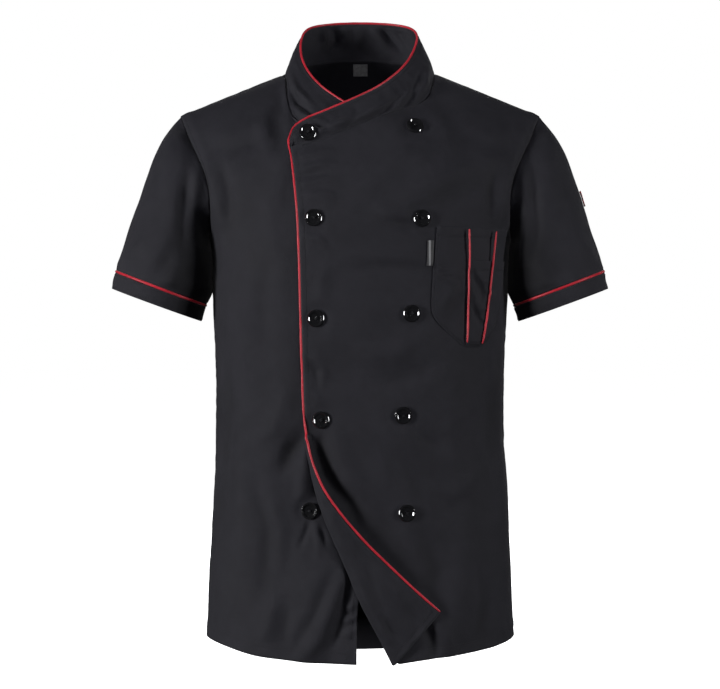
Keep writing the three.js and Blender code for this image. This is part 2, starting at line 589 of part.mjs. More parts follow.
// The turned-back corner. It leaves the over front's inner side, rolls round and lies on the panel.
function turnedCorner() {
  const outer = [];
  const top = FOLD_LINE[0].z;
  const foot = FOLD_LINE[FOLD_LINE.length - 1].z;
  for (let r = 0; r <= TURNED_ROWS; r += 1) {
    const v = 1 - r / TURNED_ROWS;
    const z = THREE.MathUtils.lerp(top - 5, foot, v);
    const edgeZ = THREE.MathUtils.lerp(TURNED_EDGE[0].z, -660, v);
    const radius = rollRadius(z);
    const foldX = column(FOLD_LINE, 'x', z) + radius;
    const base = onPanel('over', foldX, z);
    const centreLift = radius - WALL;
    const row = [];
    for (let c = 0; c <= ROLL_STEPS; c += 1) {
      const turn = Math.PI * c / ROLL_STEPS;
      const p = base.point.clone().addScaledVector(base.normal, centreLift - radius * Math.cos(turn));
      p.x -= radius * Math.sin(turn);
      row.push(p);
    }
    const edgeX = column(TURNED_EDGE, 'x', edgeZ);
    const edgeLift = column(TURNED_EDGE, 'lift', edgeZ) - LAP_LIFT;
    const rollLift = centreLift + radius;
    for (let c = 1; c <= TURNED_COLUMNS; c += 1) {
      const t = c / TURNED_COLUMNS;
      const x = THREE.MathUtils.lerp(foldX, edgeX, t);
      const lift = THREE.MathUtils.lerp(rollLift, edgeLift, t);
      row.push(onPanel('over', x, THREE.MathUtils.lerp(z, edgeZ, t), lift).point);
    }
    outer.push(row);
  }
  const inner = moved(outer, gridNormals(outer), -WALL);
  return { outer, inner };
}

// The collar, one band from its over end to its under end
function collar() {
  const spine = new THREE.Vector3(0, 0, 0);
  const base = COLLAR.map((s) => {
    if (Math.abs(s.baseX) === NECK_POINT) return new THREE.Vector3(s.baseX, 0, s.baseZ + lap(s.panel, s.baseX, s.baseZ));
    return onPanel(s.panel, s.baseX, s.baseZ).point;
  });
  const outer = [];
  for (let r = 0; r <= COLLAR_ROWS; r += 1) {
    const t = r / COLLAR_ROWS;
    outer.push(COLLAR.map((s, c) => {
      const rim = new THREE.Vector3(s.rimX, s.rimY, s.rimZ);
      const foot = base[c].clone().addScaledVector(rim.clone().sub(base[c]).normalize(), COLLAR_GAP);
      const p = foot.lerp(rim, t);
      const outward = p.clone().sub(spine).setZ(0).normalize();
      return p.addScaledVector(outward, COLLAR_BULGE * 4 * t * (1 - t));
    }));
  }
  const inner = moved(outer, gridNormals(outer), -WALL);
  return { outer, inner };
}

// One ring of a sleeve, from its outer point round the front to the inner point and back
function sleeveRing(side, section, count) {
  const inner = new THREE.Vector2(column(BODY, 'half', section.innerZ) + section.clear, section.innerZ);
  const tip = new THREE.Vector2(section.outerX, section.outerZ);
  const middle = inner.clone().add(tip).multiplyScalar(0.5);
  const reach = tip.clone().sub(middle);
  const ring = [];
  for (let j = 0; j < count; j += 1) {
    const turn = (j / count) * 2 * Math.PI;
    const x = middle.x + reach.x * Math.cos(turn);
    const z = middle.y + reach.y * Math.cos(turn);
    ring.push(new THREE.Vector3(side * x, -section.forward - section.depth * Math.sin(turn), z));
  }
  return ring;
}

// The armhole's seam points in the same order as a sleeve ring
function armholeRing(side, front, rear) {
  const frontSide = side === 1 ? (row) => row[row.length - 1] : (row) => row[0];
  const backSide = side === 1 ? (row) => row[0] : (row) => row[row.length - 1];
  const ring = [];
  for (let k = ROWS_ABOVE_ARMPIT; k >= 0; k -= 1) ring.push(frontSide(front[ROWS_BELOW_ARMPIT + k]));
  for (let k = 1; k < ROWS_ABOVE_ARMPIT; k += 1) ring.push(backSide(rear[ROWS_BELOW_ARMPIT + k]));
  return ring.map((p) => p.clone().setX(p.x + side * SLEEVE_GAP));
}

// The wall of a sleeve or hem band through its rings, which are given from the top down
function tubeWall(rings, side) {
  const turned = side === -1 ? rings : rings.map((ring) => [ring[0], ...ring.slice(1).reverse()]);
  const outer = [...turned].reverse();
  const inner = moved(outer, gridNormals(outer, true), -WALL);
  return { outer, inner };
}

// A bead of red piping along a line of points, open or closed
function beadGeometry(points, radius, closed = false) {
  const line = new THREE.CatmullRomCurve3(points, closed, 'centripetal');
  line.getUtoTmapping = (share) => share; // a ring of the bead stands at each given point
  if (closed) return new THREE.TubeGeometry(line, points.length, radius, PIPING_SIDES, true);
  const section = new THREE.Shape();
  for (let k = 0; k < PIPING_SIDES; k += 1) {
    const turn = (k / PIPING_SIDES) * 2 * Math.PI;
    const [x, y] = [radius * Math.cos(turn), radius * Math.sin(turn)];
    if (k === 0) section.moveTo(x, y);
    else section.lineTo(x, y);
  }
  section.closePath();
  return new THREE.ExtrudeGeometry(section, { steps: points.length - 1, extrudePath: line, bevelEnabled: false });
}

// Direction square to an edge and lying in the cloth, on the side that the cloth leaves free
function freeSide(along, normal, from) {
  const side = along.clone().cross(normal).normalize();
  return side.dot(from) < 0 ? side.negate() : side;
}

// The piping of the collar's rim and the front edge, in one length from the collar's under end
function frontPiping() {
  const away = WALL / 2;
  const beside = PIPING_RADIUS + PIPING_GAP;
  const points = [];
  const [rim, below] = [band.outer[COLLAR_ROWS], band.outer[COLLAR_ROWS - 1]];
  for (let c = COLLAR.length - 1; c >= 0; c -= 1) {
    const along = rim[Math.min(c + 1, COLLAR.length - 1)].clone().sub(rim[Math.max(c - 1, 0)]);
    const up = rim[c].clone().sub(below[c]);
    const out = freeSide(along, along.clone().cross(up), up);
    points.push(rim[c].clone().lerp(band.inner[COLLAR_ROWS][c], 0.5).addScaledVector(out, beside));
  }
  const corner = points[points.length - 1];
  corner.x -= beside;
  corner.z += beside / 2;
  for (const r of [COLLAR_ROWS - 1, 1]) {
    const end = band.outer[r][0].clone().lerp(band.inner[r][0], 0.5);
    points.push(end.setX(end.x - beside));
  }
  const last = EDGE_PIPING_HEIGHTS[EDGE_PIPING_HEIGHTS.length - 1];
  for (const z of EDGE_PIPING_HEIGHTS) {
    const turn = THREE.MathUtils.clamp((z - EDGE_TO_FRONT_FROM) / (last - EDGE_TO_FRONT_FROM), 0, 1) * Math.PI / 2;
    const x = column(OVER_EDGE, 'x', z) - beside * Math.cos(turn);
    points.push(onPanel('over', x, z, (beside + away) * Math.sin(turn) - away).point);
  }
  const faces = gridNormals(turned.outer);
  for (let r = TURNED_ROWS; r >= 0; r -= 1) {
    const at = (grid, row) => grid[Math.min(Math.max(row, 0), TURNED_ROWS)][turned.outer[0].length - 1];
    const along = at(turned.outer, r + 1).clone().sub(at(turned.outer, r - 1));
    const across = at(turned.outer, r).clone().sub(turned.outer[r][turned.outer[0].length - 2]);
    const out = freeSide(along, along.clone().cross(across), across);
    const turn = Math.max(0, r - TURNED_ROWS + ROWS_TO_SIDE) / ROWS_TO_SIDE * Math.PI / 2;
    const middle = at(turned.outer, r).clone().lerp(at(turned.inner, r), 0.5);
    middle.addScaledVector(out, beside * Math.cos(turn));
    points.push(middle.addScaledVector(at(faces, r), (beside + away) * Math.sin(turn)));
  }
  return beadGeometry(points, PIPING_RADIUS);
}

// The ring of piping caught between a sleeve and its hem band
function cuffPiping(sleeveWall, cuffWall) {
  const last = cuffWall.outer.length - 1;
  const points = sleeveWall.outer[0].map((p, j) => {
    const above = p.clone().lerp(sleeveWall.inner[0][j], 0.4);
    const below = cuffWall.outer[last][j].clone().lerp(cuffWall.inner[last][j], 0.4);
    return above.lerp(below, 0.5);
  });
  return beadGeometry(points, CUFF_PIPING_RADIUS, true);
}

// A flat piece laid on a panel, its outline given by height
function patchWall(panel, outline, rows, columns, out, wall) {
  const outer = [];
  const inner = [];
  const [top, foot] = [outline[0].z, outline[outline.length - 1].z];
  for (let r = 0; r <= rows; r += 1) {
    const z = THREE.MathUtils.lerp(foot, top, r / rows);
    const [left, right] = [column(outline, 'left', z), column(outline, 'right', z)];
    const places = Array.from({ length: columns + 1 }, (_, c) => THREE.MathUtils.lerp(left, right, c / columns));
    inner.push(places.map((x) => onFacets(panel, x, z, out).point));
    outer.push(places.map((x) => onFacets(panel, x, z, out + wall).point));
  }
  return { outer, inner };
}

// A small tab lying along the outer side of the wearer's left sleeve
function sleeveTabWall() {
  const grid = (out) => [SLEEVE_TAB.foot, SLEEVE_TAB.top].map((z) => {
    const x = column(SLEEVE, 'outerX', z, 'outerZ') + out;
    const y = -column(SLEEVE, 'forward', z, 'outerZ');
    return [-1, 0, 1].map((k) => new THREE.Vector3(x - Math.abs(k) * SLEEVE_TAB.drop, y + k * SLEEVE_TAB.half, z));
  });
  return { outer: grid(SLEEVE_TAB.gap + TAB_WALL), inner: grid(SLEEVE_TAB.gap) };
}

// A round sew-through button: a dished disc with a raised rim
function buttonGeometry() {
  const [r, h] = [BUTTON_RADIUS, BUTTON_HEIGHT];
  const profile = [[0, 0], [r, 0.1 * h], [r, 0.7 * h], [0.84 * r, h], [0.66 * r, 0.6 * h], [0, 0.55 * h]];
  return new THREE.LatheGeometry(profile.map(([x, y]) => new THREE.Vector2(x, y)), BUTTON_FACETS);
}

// Where a button is sewn and which way it faces
function buttonSeat(button) {
  if (button.on !== 'collar') return onFacets(button.on, button.x, button.z, BUTTON_GAP);
  const [low, high] = [band.outer[1][2], band.outer[2][2]];
  const [left, right] = [band.outer[1][1], band.outer[1][3]];
  const normal = right.clone().sub(left).cross(high.clone().sub(low)).normalize();
  return { point: low.clone().lerp(high, 0.5).addScaledVector(normal, COLLAR_BUTTON_GAP), normal };
}

// Fronts, back, turned corner and collar
const panels = { over: frontOver(), under: frontUnder(), back: back() };
const turned = turnedCorner();
const band = collar();
add('front_over', wallGeometry(panels.over.outer, panels.over.inner), CLOTH);
add('front_under', wallGeometry(panels.under.outer, panels.under.inner), CLOTH);
add('back', wallGeometry(panels.back.outer, panels.back.inner), CLOTH);
add('front_facing_turned', wallGeometry(turned.outer, turned.inner), CLOTH);
add('collar', wallGeometry(band.outer, band.inner), CLOTH);
add('piping_front', frontPiping(), RED);

// Sleeves with their hem bands and piping
for (const [side, label, front] of [[1, 'left', panels.over], [-1, 'right', panels.under]]) {
  const armhole = armholeRing(side, front.outer, panels.back.outer);
  const count = armhole.length;
  const sleeve = tubeWall([armhole, ...SLEEVE.map((section) => sleeveRing(side, section, count))], side);
  const cuff = tubeWall(CUFF.map((section) => sleeveRing(side, section, count)), side);
  add(`sleeve_${label}`, wallGeometry(sleeve.outer, sleeve.inner, true), CLOTH);
  add(`cuff_${label}`, wallGeometry(cuff.outer, cuff.inner, true), CLOTH);
  add(`piping_cuff_${label}`, cuffPiping(sleeve, cuff), RED);
}

// Chest pocket, the pen pocket on it and its two pipings
const pocket = patchWall('over', POCKET, 8, 9, PANEL_TO_POCKET, THIN_WALL);
add('chest_pocket', wallGeometry(pocket.outer, pocket.inner), CLOTH);
const penLift = PANEL_TO_POCKET + THIN_WALL + PANEL_TO_POCKET;
const pen = patchWall('over', PEN_POCKET, 6, 4, penLift, THIN_WALL);
add('pen_pocket', wallGeometry(pen.outer, pen.inner), CLOTH);
for (const line of PEN_POCKET_PIPING) {
  const lift = penLift + THIN_WALL + CUFF_PIPING_RADIUS + SEAM_GAP;
  const curve = new THREE.QuadraticBezierCurve3(
    new THREE.Vector3(line.top.x, 0, line.top.z),
    new THREE.Vector3(line.middle.x, 0, line.middle.z),
    new THREE.Vector3(line.foot.x, 0, line.foot.z),
  );
  const points = curve.getPoints(8).map((p) => onFacets('over', p.x, p.z, lift).point);
  add(line.name, beadGeometry(points, CUFF_PIPING_RADIUS), RED);
}

// Tabs: at the pocket's edge, inside the back neck and on the wearer's left sleeve
const pocketTab = patchWall('over', POCKET_TAB, 2, 1, SEAM_GAP, TAB_WALL);
add('pocket_tab', wallGeometry(pocketTab.outer, pocketTab.inner), CLOTH);
const neckTab = patchWall('back', NECK_TAB, 2, 2, -(WALL + SEAM_GAP + TAB_WALL), TAB_WALL);
add('neck_tab', wallGeometry(neckTab.outer, neckTab.inner), PALE);
const sleeveTab = sleeveTabWall();
add('sleeve_tab', wallGeometry(sleeveTab.outer, sleeveTab.inner), RED);

// Buttons
for (const button of BUTTONS) {
  const { point, normal } = buttonSeat(button);
  const mesh = add(button.name, buttonGeometry(), GLOSS);
  mesh.position.copy(point);
  mesh.quaternion.setFromUnitVectors(new THREE.Vector3(0, 1, 0), normal);
}

export default garment;
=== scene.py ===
import math

import bmesh
import bpy
import numpy as np
from mathutils import Matrix, Vector, noise
from mathutils.bvhtree import BVHTree
from mathutils.kdtree import KDTree


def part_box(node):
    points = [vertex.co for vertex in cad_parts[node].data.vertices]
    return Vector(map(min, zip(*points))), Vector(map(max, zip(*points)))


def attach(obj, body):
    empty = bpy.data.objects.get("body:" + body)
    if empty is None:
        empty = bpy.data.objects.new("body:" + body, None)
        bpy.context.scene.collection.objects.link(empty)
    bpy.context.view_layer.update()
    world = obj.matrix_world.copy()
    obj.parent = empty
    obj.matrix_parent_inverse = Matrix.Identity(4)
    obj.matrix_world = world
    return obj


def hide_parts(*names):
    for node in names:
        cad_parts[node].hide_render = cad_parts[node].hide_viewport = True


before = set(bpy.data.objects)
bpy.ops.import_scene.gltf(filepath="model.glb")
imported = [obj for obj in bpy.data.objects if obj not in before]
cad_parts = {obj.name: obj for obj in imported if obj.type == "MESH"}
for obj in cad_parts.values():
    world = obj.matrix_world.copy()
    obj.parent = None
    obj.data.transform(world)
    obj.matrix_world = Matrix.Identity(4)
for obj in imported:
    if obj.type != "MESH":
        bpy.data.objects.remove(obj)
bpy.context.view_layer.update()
MM = 0.001

# Camera
# Level with the middle of the garment and square to its front, 2.5 m away, with a portrait lens.
# From that far the near front and the far back show at almost one scale.
eye = Vector((0.0, -2.5, -0.339))
camera_data = bpy.data.cameras.new("camera")
camera_data.lens = 100
camera_data.sensor_width = 36
camera = bpy.data.objects.new("camera", camera_data)
camera.location = eye
camera.rotation_euler = (math.radians(90), 0, 0)
bpy.context.scene.collection.objects.link(camera)
bpy.context.scene.camera = camera

# Front that laps over, wearer's left
# One panel of black polyester-cotton twill, with a facing behind its free edge and a turned-up hem.
# It lies over the other front from the neck to the waist and is sewn into collar, shoulder and sleeve.


class Wire:
    """A socket's value in a shader, on which plain sums and products add Math nodes."""

    def __init__(self, finish, socket):
        self.finish = finish
        self.socket = socket

    def calc(self, operation, *others, flip=False):
        values = [self, *others]
        if flip:
            values.reverse()
        return self.finish.node("ShaderNodeMath", {"operation": operation}, dict(enumerate(values)))

    def __add__(self, other):
        return self.calc("ADD", other)

    def __sub__(self, other):
        return self.calc("SUBTRACT", other)

    def __mul__(self, other):
        return self.calc("MULTIPLY", other)

    def __rsub__(self, other):
        return self.calc("SUBTRACT", other, flip=True)

    __radd__ = __add__
    __rmul__ = __mul__

    def sine(self):
        return self.calc("SINE")

    def above(self, low, high):
        """0 below low, 1 above high and a soft step between them."""
        settings = {"interpolation_type": "SMOOTHSTEP"}
        return self.finish.node("ShaderNodeMapRange", settings, {0: self, 1: low, 2: high})


class Finish:
    """A material and its nodes."""

    def __init__(self, name, **constants):
        self.material = bpy.data.materials.new(name)
        self.material.use_nodes = True
        self.tree = self.material.node_tree
        self.shader = self.tree.nodes["Principled BSDF"]
        for socket, value in constants.items():
            self.shader.inputs[socket.replace("_", " ")].default_value = value

    def link(self, value, socket):
        if isinstance(value, Wire):
            self.tree.links.new(value.socket, socket)
        else:
            socket.default_value = value

    def node(self, kind, settings=None, inputs=None, output=0):
        made = self.tree.nodes.new(kind)
        for name, value in (settings or {}).items():
            setattr(made, name, value)
        for key, value in (inputs or {}).items():
            self.link(value, made.inputs[key])
        return Wire(self, made.outputs[output])

    def place(self, kind="Object"):
        return self.node("ShaderNodeTexCoord", output=kind)

    def grain(self, where, scale, detail=2.0, distortion=0.0):
        inputs = {"Vector": where, "Scale": scale, "Detail": detail, "Distortion": distortion}
        return self.node("ShaderNodeTexNoise", {}, inputs)

    def mix(self, share, first, second):
        return self.node("ShaderNodeMix", {"data_type": "RGBA"}, {0: share, 6: first, 7: second}, 2)

    def bump(self, height, distance, strength=1.0, under=None):
        inputs = {"Height": height, "Distance": distance, "Strength": strength}
        if under is not None:
            inputs["Normal"] = under
        return self.node("ShaderNodeBump", {}, inputs)

    def set(self, **wires):
        for socket, value in wires.items():
            self.link(value, self.shader.inputs[socket.replace("_", " ")])
        return self.material


THREAD = 0.45 * MM


def black_twill():
    """Matt black twill: fine diagonal ribs, a faint sheen, edges greyed by wear, and painted shade that
    darkens deep folds and the sleeves beside the body.
    """
    cloth = Finish("black_twill", Sheen_Weight=0.05, Sheen_Roughness=0.4, Specular_IOR_Level=0.2)
    u, v, _ = [cloth.node("ShaderNodeSeparateXYZ", {}, {0: cloth.place("UV")}, k) for k in range(3)]
    turn = 2 * math.pi / THREAD
    ribs = ((u + v) * turn).sine()
    ends = ((u - v) * (turn * 0.5)).sine()
    place = cloth.place()
    broad = cloth.grain(place, 11, 3)
    soft = cloth.grain(place, 55, 4, 0.6)
    fleck = cloth.grain(place, 900, 2)
    # The attribute holds wear above zero and painted shade below zero
    wear_and_shade = cloth.node("ShaderNodeAttribute", {"attribute_name": "wear_and_shade"}, output="Fac")
    shade = broad * 0.5 + soft * 0.3 + fleck * 0.2
    tone = cloth.mix(shade.above(0.25, 0.8), (0.0080, 0.0078, 0.0104, 1), (0.0150, 0.0146, 0.0186, 1))
    # Worn edges and seams go greyer where the attribute is above zero
    tone = cloth.mix(wear_and_shade * (0.25 + fleck * 0.5), tone, (0.030, 0.030, 0.034, 1))
    # Painted shade: where the attribute is below zero, in deep folds and on the sleeves beside the body,
    # the cloth is darkened to near black
    tone = cloth.mix(0 - wear_and_shade, tone, (0.0015, 0.0015, 0.0020, 1))
    creased = cloth.bump(soft, 1.1 * MM, 0.55)
    weave = cloth.bump(ribs * 0.7 + ends * 0.3, 0.05 * MM, 0.6, creased)
    rough = 0.62 + broad * 0.2 + fleck * 0.08
    return cloth.set(Base_Color=tone, Roughness=rough, Normal=weave)


FOLD_GAIN = 1.6  # how much deeper the folds are pressed than the lists of folds say


def smooth(value, low, high):
    """0 up to low, 1 from high on and a soft step between them."""
    t = np.clip((value - low) / (high - low), 0, 1)
    return t * t * (3 - 2 * t)


def fold_relief(folds, x, z):
    """Height in mm of soft folds at places in mm. A fold is (width, height, its places in a row)."""
    total = np.zeros(len(x))
    for width, height, places in folds:
        length = [math.dist(a, b) for a, b in zip(places, places[1:])]
        nearest = np.full(len(x), 1e9)
        share = np.zeros(len(x))
        gone = 0.0
        for (x1, z1), (x2, z2), part in zip(places, places[1:], length):
            t = np.clip(((x - x1) * (x2 - x1) + (z - z1) * (z2 - z1)) / part**2, 0, 1)
            away = (x - x1 - t * (x2 - x1)) ** 2 + (z - z1 - t * (z2 - z1)) ** 2
            closer = away < nearest
            nearest = np.where(closer, away, nearest)
            share = np.where(closer, (gone + t * part) / sum(length), share)
            gone += part
        taper = np.sin(np.pi * np.clip(share * 0.86 + 0.07, 0, 1)) ** 0.7
        total += FOLD_GAIN * height * taper * np.exp(-nearest / width**2)
    return total


def roughly(points, size, seed):
    """Smooth random heights between about -1 and 1, with bumps of the given size in metres."""
    shift = Vector((seed * 7.3, seed * 3.1, seed * 5.7))
    return np.array([noise.noise(Vector(p) / size + shift) for p in points]) * 2


def sheet_regions(shell, limit=math.radians(62)):
    """Parts a cloth solid's faces into sheets that meet at its cut edges, largest first."""
    left = set(shell.faces)
    regions = []
    while left:
        found = [left.pop()]
        for face in found:
            for edge in face.edges:
                for other in edge.link_faces:
                    if other in left and face.normal.angle(other.normal, 0) < limit:
                        left.remove(other)
                        found.append(other)
        regions.append(found)
    return sorted(regions, key=lambda faces: -sum(f.calc_area() for f in faces))


def outer_sheet(node, levels, tube=False):
    """The outer face of a cloth solid as a finely divided open sheet."""
    shell = bmesh.new()
    shell.from_mesh(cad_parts[node].data)
    bmesh.ops.remove_doubles(shell, verts=shell.verts, dist=0.02 * MM)
    shell.normal_update()
    middle = sum((v.co for v in shell.verts), Vector()) / len(shell.verts)

    def outward(faces):
        total = 0.0
        for face in faces:
            centre = face.calc_center_median()
            axis = middle if tube else Vector((0, 0, centre.z))
            total += face.calc_area() * face.normal.dot(centre - axis)
        return total

    # The two largest sheets are the cloth's two faces, and the outer one looks away from the body
    keep = set(max(sheet_regions(shell)[:2], key=outward))
    bmesh.ops.delete(shell, geom=[f for f in shell.faces if f not in keep], context="FACES")
    bmesh.ops.join_triangles(
        shell, faces=shell.faces, angle_face_threshold=math.pi, angle_shape_threshold=math.pi,
    )
    mesh = bpy.data.meshes.new(node)
    shell.to_mesh(mesh)
    shell.free()
    piece = bpy.data.objects.new(node, mesh)
    bpy.context.scene.collection.objects.link(piece)
    finer = piece.modifiers.new("finer", "SUBSURF")
    finer.levels = finer.render_levels = levels
    finer.boundary_smooth = "PRESERVE_CORNERS"
    apply_modifier(piece, finer)
    return piece


def apply_modifier(piece, modifier):
    bpy.ops.object.select_all(action="DESELECT")
    bpy.context.view_layer.objects.active = piece
    piece.select_set(True)
    bpy.ops.object.modifier_apply(modifier=modifier.name)


def positions(mesh):
    flat = np.empty(len(mesh.vertices) * 3)
    mesh.vertices.foreach_get("co", flat)
    return flat.reshape(-1, 3)


def directions(mesh):
    flat = np.empty(len(mesh.vertices) * 3)
    mesh.vertex_normals.foreach_get("vector", flat)
    return flat.reshape(-1, 3)


def rim_edges(mesh):
    """Pairs of points that the open edges of a sheet join."""
    count = np.zeros(len(mesh.edges), int)
    uses = np.empty(len(mesh.loops), int)
    mesh.loops.foreach_get("edge_index", uses)
    np.add.at(count, uses, 1)
    ends = np.empty(len(mesh.edges) * 2, int)
    mesh.edges.foreach_get("vertices", ends)
    return ends.reshape(-1, 2)[count == 1]


def rim_points(mesh):
    """Places of the open edges of a sheet."""
    return positions(mesh)[np.unique(rim_edges(mesh))]


def tree_of(places):
    tree = KDTree(len(places))
    for k, place in enumerate(places):
        tree.insert(place, k)
    tree.balance()
    return tree


def blend(tree, values, place, count=5):
    """Mean of the values kept at the nearest places of a tree, the closest counting most."""
    near = tree.find_n(place, count)
    weight = np.array([1 / (d + 0.2 * MM) ** 2 for _, _, d in near])
    return weight @ values[[k for _, k, _ in near]] / weight.sum()


SEAM_REACH = 3.2 * MM  # a rim this near an edge is sewn to it
UNDERLAP = 0.8 * MM  # how far the sewn rim reaches past that edge
TUCK = 0.5 * MM  # how far it lies under it
EASE = 14  # mm of cloth beside the rim that are drawn along


def sew(piece, edges):
    """Draws a sheet's rim, and the cloth beside it, onto and just under the edges it is sewn to."""
    mesh = piece.data
    points = positions(mesh)
    facing = directions(mesh)
    edge_tree = tree_of(edges)
    places = []
    shifts = []
    for k in np.unique(rim_edges(mesh)):
        if edge_tree.find(points[k])[2] > SEAM_REACH:
            continue
        gap = blend(edge_tree, edges, points[k], 3) - points[k]
        over_reach = min(1.0, UNDERLAP / (np.linalg.norm(gap) + 1e-9))
        places.append(points[k].copy())
        shifts.append(gap * (1 + over_reach) - facing[k] * TUCK)
    places = np.array(places)
    shifts = np.array(shifts)
    own_tree = tree_of(places)
    away = distance_to(points, places)
    for k in np.flatnonzero(away < EASE):
        points[k] += blend(own_tree, shifts, points[k]) * (1 - smooth(away[k], 0, EASE))
    mesh.vertices.foreach_set("co", points.ravel())
    mesh.update()


def rim_lines(mesh, test):
    """The runs of a sheet's rim, point after point, whose places pass a test."""
    points = positions(mesh)
    beside = {}
    for a, b in rim_edges(mesh):
        beside.setdefault(int(a), []).append(int(b))
        beside.setdefault(int(b), []).append(int(a))
    left = {k for k in beside if test(points[k])}
    lines = []
    while left:
        ends = [k for k in left if sum(n in left for n in beside[k]) < 2]
        line = [min(ends or left)]
        left.remove(line[0])
        while True:
            onward = [n for n in beside[line[-1]] if n in left]
            if not onward:
                break
            line.append(onward[0])
            left.remove(onward[0])
        if len(line) > 4:
            lines.append(points[line])
    return lines


def bead_between(made, start, end, radius, normal, sides, shares):
    """Adds one short strand or stitch from start to end. Shares are its rings: how far along, how wide."""
    along = end - start
    length = along.length
    along = along / length
    across = along.cross(normal).normalized()
    up = across.cross(along)
    rings = []
    for share, size in shares:
        centre = start + along * (length * share)
        ring = []
        for k in range(sides):
            turn = 2 * math.pi * k / sides
            spoke = across * math.cos(turn) + up * math.sin(turn)
            ring.append(made.verts.new(centre + spoke * radius * size))
        rings.append(ring)
    for one, two in zip(rings, rings[1:]):
        for k in range(sides):
            j = (k + 1) % sides
            made.faces.new((one[k], one[j], two[j], two[k]))
    made.faces.new(rings[0][::-1])
    made.faces.new(rings[-1])


STITCH = 2.5 * MM
STITCH_PITCH = 3.3 * MM
STITCH_R = 0.3 * MM
STITCH_RINGS = ((0, 0.4), (0.5, 1), (1, 0.4))
thread_finish = Finish("black_thread", Specular_IOR_Level=0.2)
ply = thread_finish.grain(thread_finish.place(), 2200, 2)
tone = thread_finish.mix(ply, (0.006, 0.006, 0.007, 1), (0.013, 0.013, 0.015, 1))
twisted = thread_finish.bump(ply, 0.06 * MM, 0.6)
thread_black = thread_finish.set(Base_Color=tone, Roughness=0.5 + ply * 0.2, Normal=twisted)


def dress(piece, material, stands_for=None):
    """Gives a piece its material and smooth shading, ties it to the body, and hides the CAD node it stands
    for.
    """
    piece.data.materials.clear()
    piece.data.materials.append(material)
    for polygon in piece.data.polygons:
        polygon.use_smooth = True
    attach(piece, "root")
    if stands_for:
        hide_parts(stands_for)


def topstitch(piece, node, rows):
    """Sews rows of stitches beside a sheet's rim. A row is a test for the rim and its distance in mm."""
    mesh = piece.data
    surface = BVHTree.FromPolygons([v.co for v in mesh.vertices], [p.vertices[:] for p in mesh.polygons])
    made = bmesh.new()
    for test, inset in rows:
        for line in rim_lines(mesh, test):
            line = line[::2]
            tangent = np.gradient(line, axis=0)
            moved = []
            for place, along in zip(line, tangent):
                _, normal, _, _ = surface.find_nearest(Vector(place))
                side = Vector(along).cross(normal).normalized() * inset * MM
                sides = [surface.find_nearest(Vector(place) + way * side) for way in (1, -1)]
                moved.append(min(sides, key=lambda found: found[3])[0])
            moved = np.array(moved)
            length = np.concatenate([[0], np.cumsum(np.linalg.norm(np.diff(moved, axis=0), axis=1))])
            for start in np.arange(STITCH_PITCH, length[-1] - STITCH_PITCH, STITCH_PITCH):
                ends = []
                for at in (start, start + STITCH):
                    guess = Vector([np.interp(at, length, moved[:, k]) for k in range(3)])
                    place, normal, _, _ = surface.find_nearest(guess)
                    ends.append(place + normal * 0.08 * MM)
                if (ends[1] - ends[0]).length > 0.4 * STITCH:
                    bead_between(made, ends[0], ends[1], STITCH_R, normal, 5, STITCH_RINGS)
    mesh = bpy.data.meshes.new("stitch_" + node)
    made.to_mesh(mesh)
    made.free()
    row = bpy.data.objects.new("stitch_" + node, mesh)
    bpy.context.scene.collection.objects.link(row)
    dress(row, thread_black)


def distance_to(points, places):
    """Distance in mm of each point from the nearest of the places."""
    if not len(places):
        return np.full(len(points), 1e3)
    tree = tree_of(places)
    return np.array([tree.find(p)[2] for p in points]) / MM


def seam_relief(away, puckers, depth=0.5, reach=7):
    """Height in mm beside a sewn line: a narrow groove, and small puckers that the thread draws."""
    groove = -depth * np.exp(-((away / 1.8) ** 2))
    return groove + puckers * smooth(away, 0.5, 3) * np.exp(-away / reach)


def wrap_map(piece, across, depth, centre=(0, 0, 0), axis=(0, 0, 1)):
    """A UV map in metres, measured round and along a sleeve-like form, for the weave."""
    along = Vector(axis).normalized()
    side = along.cross(Vector((0, 1, 0))).normalized()
    back = along.cross(side)
    local = positions(piece.data) - np.array(centre)
    turn = np.arctan2(local @ np.array(back) / depth, local @ np.array(side) / across)
    steps = np.linspace(-math.pi, math.pi, 361)
    speed = np.hypot(across * np.sin(steps), depth * np.cos(steps))
    length = np.concatenate([[0], np.cumsum((speed[1:] + speed[:-1]) / 2 * np.diff(steps))])
    flat = np.column_stack([np.interp(turn, steps, length), local @ np.array(along)])
    mesh = piece.data
    corners = np.empty(len(mesh.loops), int)
    mesh.loops.foreach_get("vertex_index", corners)
    values = flat[corners]
    starts = np.array([p.loop_start for p in mesh.polygons])
    totals = np.array([p.loop_total for p in mesh.polygons])
    owner = np.repeat(np.arange(len(starts)), totals)
    first = values[starts][owner]
    whole = length[-1]
    values[:, 0] -= np.round((values[:, 0] - first[:, 0]) / whole) * whole
    mesh.uv_layers.new(name="weave").data.foreach_set("uv", values.ravel())


MOVES = {}  # by node: where the points of its cloth started, and how far they were moved
RIMS = {}  # by node: where the rim of its finished cloth lies


def follow(points, nodes):
    """How far the finished cloth of some nodes was moved beside each point."""
    tree = tree_of(np.concatenate([MOVES[n][0] for n in nodes]))
    shifts = np.concatenate([MOVES[n][1] for n in nodes])
    return np.array([blend(tree, shifts, p) for p in points])


